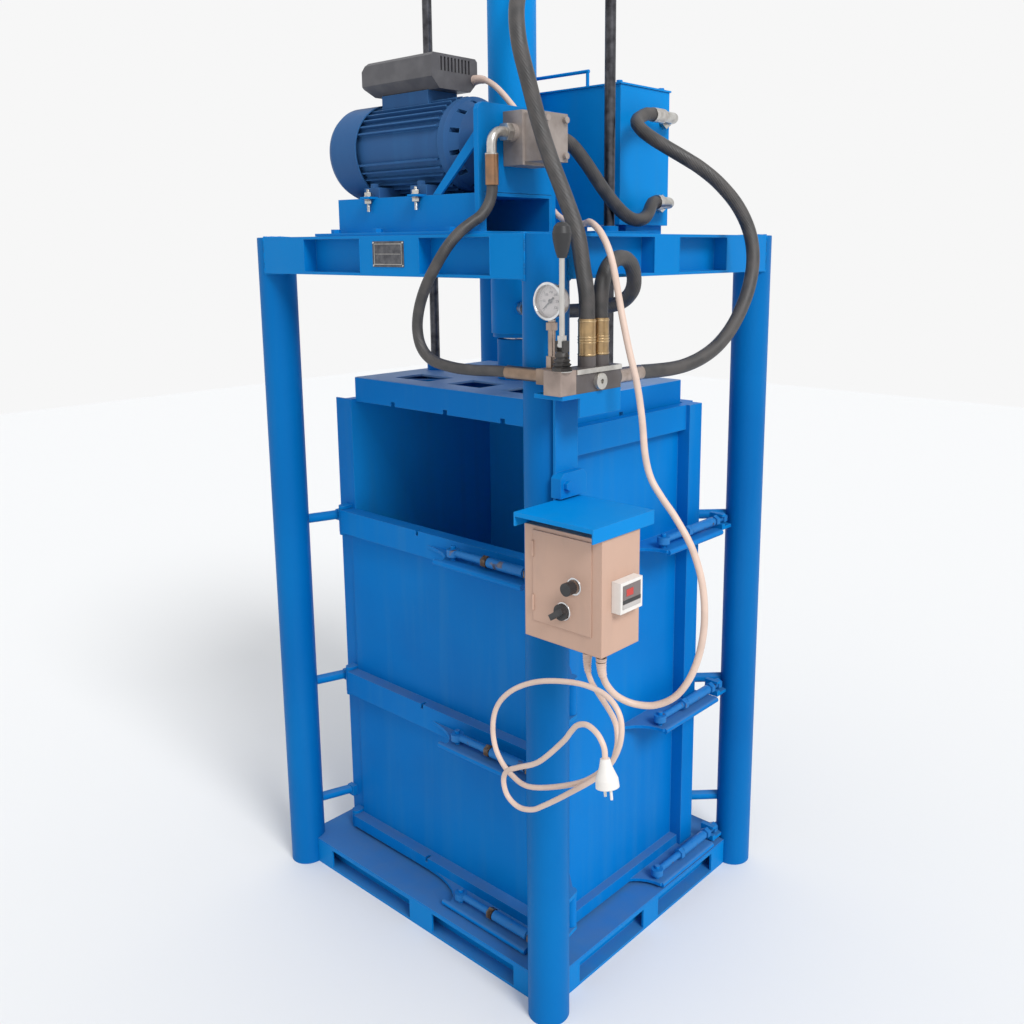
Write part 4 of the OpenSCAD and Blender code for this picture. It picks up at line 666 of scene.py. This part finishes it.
# Moulded parts. Grey-black plastic for the capacitor box, black for knobs and glands, white
# for the meter and the mains plug; fine moulded grain with a film of dust.
def moulded(name, base, dust, roughness):
    material, place = begin(name)
    film = place.speckle(30, 6).ramp((0.45, 0), (0.75, 1))
    colour = (film * 0.35).mixed(base, dust)
    finish_with(place, colour, roughness + film * 0.2, bump=place.speckle(900, 2),
                bump_depth=0.00015, edge_radius=0.0015)
    return material


black_plastic = moulded("black_plastic", (0.022, 0.022, 0.024, 1), (0.12, 0.115, 0.11, 1), 0.4)
white_plastic = moulded("white_plastic", (0.76, 0.73, 0.69, 1), (0.58, 0.53, 0.48, 1), 0.35)
paint_nodes(moulded("grey_plastic", (0.075, 0.073, 0.080, 1), (0.19, 0.185, 0.19, 1), 0.4),
            "capacitor_box")
paint_nodes(black_plastic, "gauge_pointer", "start_button", "selector_knob", "cable_glands")
paint_nodes(white_plastic, "meter", "mains_plug")


# Pressure gauge. A white printed dial with its marks behind flat glass, in a chromed case on
# a dull bronze stem.
def gauge_metals():
    material, place = begin("gauge_metals")
    stain = place.speckle(60, 6)
    tone = (place.axis("Z") < 1.4935).mixed((0.60, 0.585, 0.58, 1), (0.40, 0.315, 0.265, 1))
    colour = (stain.ramp((0.4, 0), (0.7, 1)) * 0.4).mixed(tone, (0.20, 0.16, 0.14, 1))
    finish_with(place, colour, 0.2 + stain * 0.2, 0.9, bump=place.speckle(500, 3),
                bump_depth=0.0001, edge_radius=0.0008)
    return material


paint_nodes(gauge_metals(), "gauge_case")
gauge_x, gauge_z = 494, 1529
first_angle, mark_step, marks_per_number, numbers = 225, 9, 5, 7
dial = bmesh.new()
turned(dial, (gauge_x, -429.6, gauge_z), (0, -1, 0), [
    (0, 0), (28.6, 0), (28.6, 0.4), (0, 0.4)], 64)
dial_enamel = moulded("dial_enamel", (0.68, 0.62, 0.60, 1), (0.58, 0.52, 0.50, 1), 0.4)
made("gauge_dial", dial, "frame", dial_enamel)
marks = bmesh.new()
centre = Vector((gauge_x, gauge_z))
for k in range(marks_per_number * (numbers - 1) + 1):
    angle = math.radians(first_angle - mark_step * k)
    out = Vector((math.cos(angle), math.sin(angle)))
    half_width, start = (0.45, 20.5) if k % marks_per_number == 0 else (0.22, 23)
    across = Vector((-out.y, out.x)) * half_width
    inner, outer = centre + out * start, centre + out * 26
    slab(marks, "Y", -430.2, -430.0, [
        inner - across, outer - across, outer + across, inner + across])
ink = moulded("dial_ink", (0.02, 0.02, 0.022, 1), (0.05, 0.05, 0.05, 1), 0.5)
made("gauge_marks", marks, "frame", ink)
for k in range(numbers):
    angle = math.radians(first_angle - mark_step * marks_per_number * k)
    lettering = bpy.data.curves.new("dial_number", "FONT")
    lettering.body = str(50 * k)
    lettering.size = 0.0062
    lettering.align_x, lettering.align_y = "CENTER", "CENTER"
    lettering.extrude = 0.0001
    number = bpy.data.objects.new("dial_number_%d" % k, lettering)
    number.location = Vector((gauge_x + 16 * math.cos(angle), -430.15,
                              gauge_z + 16 * math.sin(angle))) / 1000
    number.rotation_euler = (math.pi / 2, 0, 0)
    lettering.materials.append(ink)
    bpy.context.scene.collection.objects.link(number)
    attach(number, "frame")
glass = bmesh.new()
turned(glass, (gauge_x, -435.5, gauge_z), (0, -1, 0), [
    (0, 0), (29.2, 0), (29.2, 1.2), (0, 1.5)], 64)
clear_glass, glass_place = begin("gauge_glass")
pane = glass_place.node("ShaderNodeBsdfPrincipled", {}, {
    "Base Color": (1, 1, 1, 1), "Roughness": 0.02 + 0.03 * glass_place.speckle(60),
    "IOR": 1.45, "Alpha": 0.14 + 0.06 * glass_place.speckle(20)})
glass_place.node("ShaderNodeOutputMaterial", {}, {"Surface": pane})
made("gauge_glass", glass, "frame", clear_glass)
bezel = bmesh.new()
turned(bezel, (gauge_x, -440, gauge_z), (0, 1, 0), [
    (29.4, 0.6), (30.2, -0.6), (32.6, -1.0), (34.4, 0.2), (34.6, 2.0), (34.6, 9.0),
    (33.9, 9.6), (33.0, 9.6), (33.0, 3.0), (29.4, 3.0), (29.4, 0.6)], 72)
made("gauge_bezel", bezel, "frame", bright_chrome)


# Control box. Pressed sheet steel in a warm cream powder coat with a fine texture; chromed
# rings hold the button and the selector.
def cream_coat():
    material, place = begin("cream_powder_coat")
    cloud = place.speckle(8, 5)
    smear = place.speckle(22, 6, (1, 1, 0.3)).ramp((0.52, 0), (0.8, 1))
    colour = (smear * 0.4).mixed(cloud.mixed((0.57, 0.375, 0.285, 1), (0.505, 0.33, 0.25, 1)),
                                 (0.36, 0.26, 0.21, 1))
    finish_with(place, colour, 0.45 + cloud * 0.15, bump=place.speckle(700, 2),
                bump_depth=0.0002, edge_radius=0.002, gloss=0.3)
    return material


cream_paint = cream_coat()
paint_nodes(cream_paint, "control_box", "box_door")
rings = bmesh.new()
for x, z, hole in ((607, 1035, 12.6), (582, 983, 13.2)):
    turned(rings, (x, -499.6, z), (0, -1, 0), [
        (hole, 0), (hole + 4, 0), (hole + 4, 1.2), (hole + 2.6, 2.6), (hole + 0.8, 2.6),
        (hole, 1.8), (hole, 0)], 56)
made("switch_rings", rings, "box_door", bright_chrome)


# Panel meter. A grey window with a red part over a dark and a pale strip, in a white frame.
dark_window = moulded("meter_window", (0.17, 0.14, 0.135, 1), (0.24, 0.20, 0.19, 1), 0.2)
red_window = moulded("red_window", (0.52, 0.04, 0.03, 1), (0.40, 0.05, 0.04, 1), 0.3)
pale_strip = moulded("pale_strip", (0.50, 0.47, 0.45, 1), (0.38, 0.35, 0.33, 1), 0.4)
window = bmesh.new()
slab(window, "X", 687.7, 688.4, bar(-464, 1001, -412, 1044))
made("meter_window", window, "frame", dark_window, edge=0.3)
for name, outline, finish, slot_name in (
        ("meter_red_part", bar(-454, 1023, -434, 1036), red_window, "white_plastic"),
        ("meter_dark_strip", bar(-464, 1010.5, -412, 1017), black_plastic, "black_plastic"),
        ("meter_pale_strip", bar(-464, 1001, -412, 1009.5), pale_strip, "white_plastic")):
    strip = bmesh.new()
    slab(strip, "X", 688.3, 688.8, outline)
    made(name, strip, "frame", finish)


# Nameplate. Satin aluminium, bare, with a pressed border and four dome rivets.
plate_metal = bare_metal("plate_aluminium", (0.15, 0.15, 0.16, 1), (0.08, 0.08, 0.09, 1), 0.4, 90)
plate = bmesh.new()
slab(plate, "Y", -422.6, -421.4, bar(-14, 1585, 86, 1638))
made("nameplate", plate, "frame", plate_metal, edge=0.4)
border = bmesh.new()
for outline in (bar(-8, 1590, 80, 1591.2), bar(-8, 1631.8, 80, 1633),
                bar(-8, 1591.2, -6.8, 1631.8), bar(78.8, 1591.2, 80, 1631.8),
                bar(-4, 1611.4, 76, 1612.2)):
    slab(border, "Y", -423.1, -422.5, outline)
for x in (-11, 83):
    for z in (1588, 1635):
        turned(border, (x, -422.6, z), (0, -1, 0), [
            (0, 0), (2.2, 0), (2.0, 0.8), (1.2, 1.3), (0, 1.5)], 20)
made("nameplate_border", border, "frame", zinc_plate)


# Motor feet. Long studs with hexagon nuts hold the motor to short lugs on its support channel.
feet_x, feet_y = (-86, 70), -370
ridge_count, pitch = 18, 2.6
studs = bmesh.new()
for x in feet_x:
    ridges = []
    for k in range(ridge_count):
        ridges += [(4.1, pitch * k), (3.5, pitch * k + pitch / 2)]
    turned(studs, (x, feet_y, 1702), (0, 0, 1), [(0, 0)] + ridges + [(3.8, 47.5), (0, 47.5)], 20)
    for nut_z, washer_z in ((1719, 1726.6), (1735.6, 1733.8)):
        turned(studs, (x, feet_y, nut_z), (0, 0, 1), [
            (4, 0), (8.4, 0), (8.4, 6.6), (7.6, 7.4), (4, 7.4), (4, 0)], 6)
        turned(studs, (x, feet_y, washer_z), (0, 0, 1), [
            (4, 0), (9.6, 0), (9.6, 1.6), (4, 1.6), (4, 0)], 32)
made("foot_studs", studs, "frame", zinc_plate)
lugs = bmesh.new()
for x in feet_x:
    slab(lugs, "Z", 1728.6, 1733.6, bar(x - 15, -382, x + 15, -350))
made("foot_lugs", lugs, "frame", clean_blue, edge=0.8)


# Hose and cable skins. Black rubber with the cloth-wrap print of its cure and grey dust,
# and smooth cream vinyl, a little grubby.
def hose_rubber():
    material, place = begin("hose_rubber")
    dust = place.speckle(35, 6).ramp((0.42, 0), (0.72, 1))
    wrap = place.node("ShaderNodeTexWave", {"bands_direction": "DIAGONAL"},
                      {"Vector": place, "Scale": 90.0, "Distortion": 1.0})
    colour = (dust * 0.32).mixed((0.040, 0.038, 0.038, 1), (0.16, 0.14, 0.128, 1))
    finish_with(place, colour, 0.42 + dust * 0.25, bump=wrap + place.speckle(400, 3),
                bump_depth=0.0003)
    return material


def cable_vinyl():
    material, place = begin("cable_vinyl")
    grime = place.speckle(25, 6).ramp((0.4, 0), (0.75, 1))
    colour = (grime * 0.4).mixed((0.70, 0.53, 0.44, 1), (0.45, 0.34, 0.28, 1))
    finish_with(place, colour, 0.4 + grime * 0.2, bump=place.speckle(300, 3),
                bump_depth=0.0002)
    return material


rubber_skin, vinyl_skin = hose_rubber(), cable_vinyl()
for name, piece in cords.items():
    piece.data.materials.append(rubber_skin if "hose" in name else vinyl_skin)
    "black_rubber" if "hose" in name else "cream_cable"


# Strain reliefs. Ribbed sleeves of the cord's own vinyl, tapered, where it leaves a housing.
def sleeve(name, line, wide, narrow, length, sides=28):
    """Makes the piece along the start of a line; radii and length in millimetres."""
    rings, run = [], 0.0
    for i, spot in enumerate(line):
        if i:
            run += (spot - line[i - 1]).length * 1000
        ahead = (line[i + 1] - spot).normalized()
        radius = wide + (narrow - wide) * min(run / length, 1.0)
        radius += 0.5 if i % 4 < 2 else -0.3
        rings.append(ring(spot, ahead, radius / 1000, sides))
        if run > length:
            break
    shape = bmesh.new()
    tube(shape, rings)
    made(name, shape, "frame", vinyl_skin, sharp=60)


def finely(line, step=0.0012):
    """The same line with points a millimetre or so apart."""
    fine = []
    for a, b in zip(line, line[1:]):
        count = max(1, round((b - a).length / step))
        fine += [a.lerp(b, k / count) for k in range(count)]
    return fine


motor_line, supply_line = lines["motor_cable"], lines["supply_cord"]
sleeve("supply_cord_relief", finely(supply_line), 9.0, 5.9, 36)
sleeve("motor_cable_relief_at_box", finely(motor_line[::-1]), 10.0, 7.4, 36)
sleeve("motor_cable_relief_at_motor", finely(motor_line), 10.0, 7.4, 30)


# Room. A plain pale floor, and soft daylight that comes mostly from the side door's side.
floor_mesh = bpy.data.meshes.new("floor")
floor_half = 9.0
floor_mesh.from_pydata([(x * floor_half, y * floor_half, 0) for x, y in
                        ((-1, -1), (1, -1), (1, 1), (-1, 1))], [], [(0, 1, 2, 3)])
floor = bpy.data.objects.new("floor", floor_mesh)
bpy.context.scene.collection.objects.link(floor)
floor_paint, floor_place = begin("pale_floor")
finish_with(floor_place, (0.80, 0.80, 0.79, 1), 0.7)
floor_mesh.materials.append(floor_paint)

world = bpy.data.worlds.new("daylight")
bpy.context.scene.world = world
world.use_nodes = True
sky = world.node_tree
sky.nodes.clear()
light_path = sky.nodes.new("ShaderNodeLightPath")
straight, glossy, through = [Shade(sky, light_path.outputs[name]) for name in
                             ("Is Camera Ray", "Is Glossy Ray", "Is Transmission Ray")]
seen = straight.math("MINIMUM", straight + glossy + through, 1.0)
ambient = seen.node("ShaderNodeBackground", {},
                    {"Color": (0.94, 0.96, 1.0, 1), "Strength": 0.80})
backdrop = seen.node("ShaderNodeBackground", {},
                     {"Color": (0.93, 0.93, 0.93, 1), "Strength": 1.0})
blended = seen.node("ShaderNodeMixShader", {}, {0: seen, 1: ambient, 2: backdrop})
seen.node("ShaderNodeOutputWorld", {}, {"Surface": blended})

sun_data = bpy.data.lights.new("daylight_sun", "SUN")
sun_data.energy = 2.1
sun_data.angle = math.radians(22)
sun = bpy.data.objects.new("daylight_sun", sun_data)
sun_from = Vector((0.62, -0.17, 0.55))
sun.rotation_euler = sun_from.to_track_quat("Z", "Y").to_euler()
bpy.context.scene.collection.objects.link(sun)
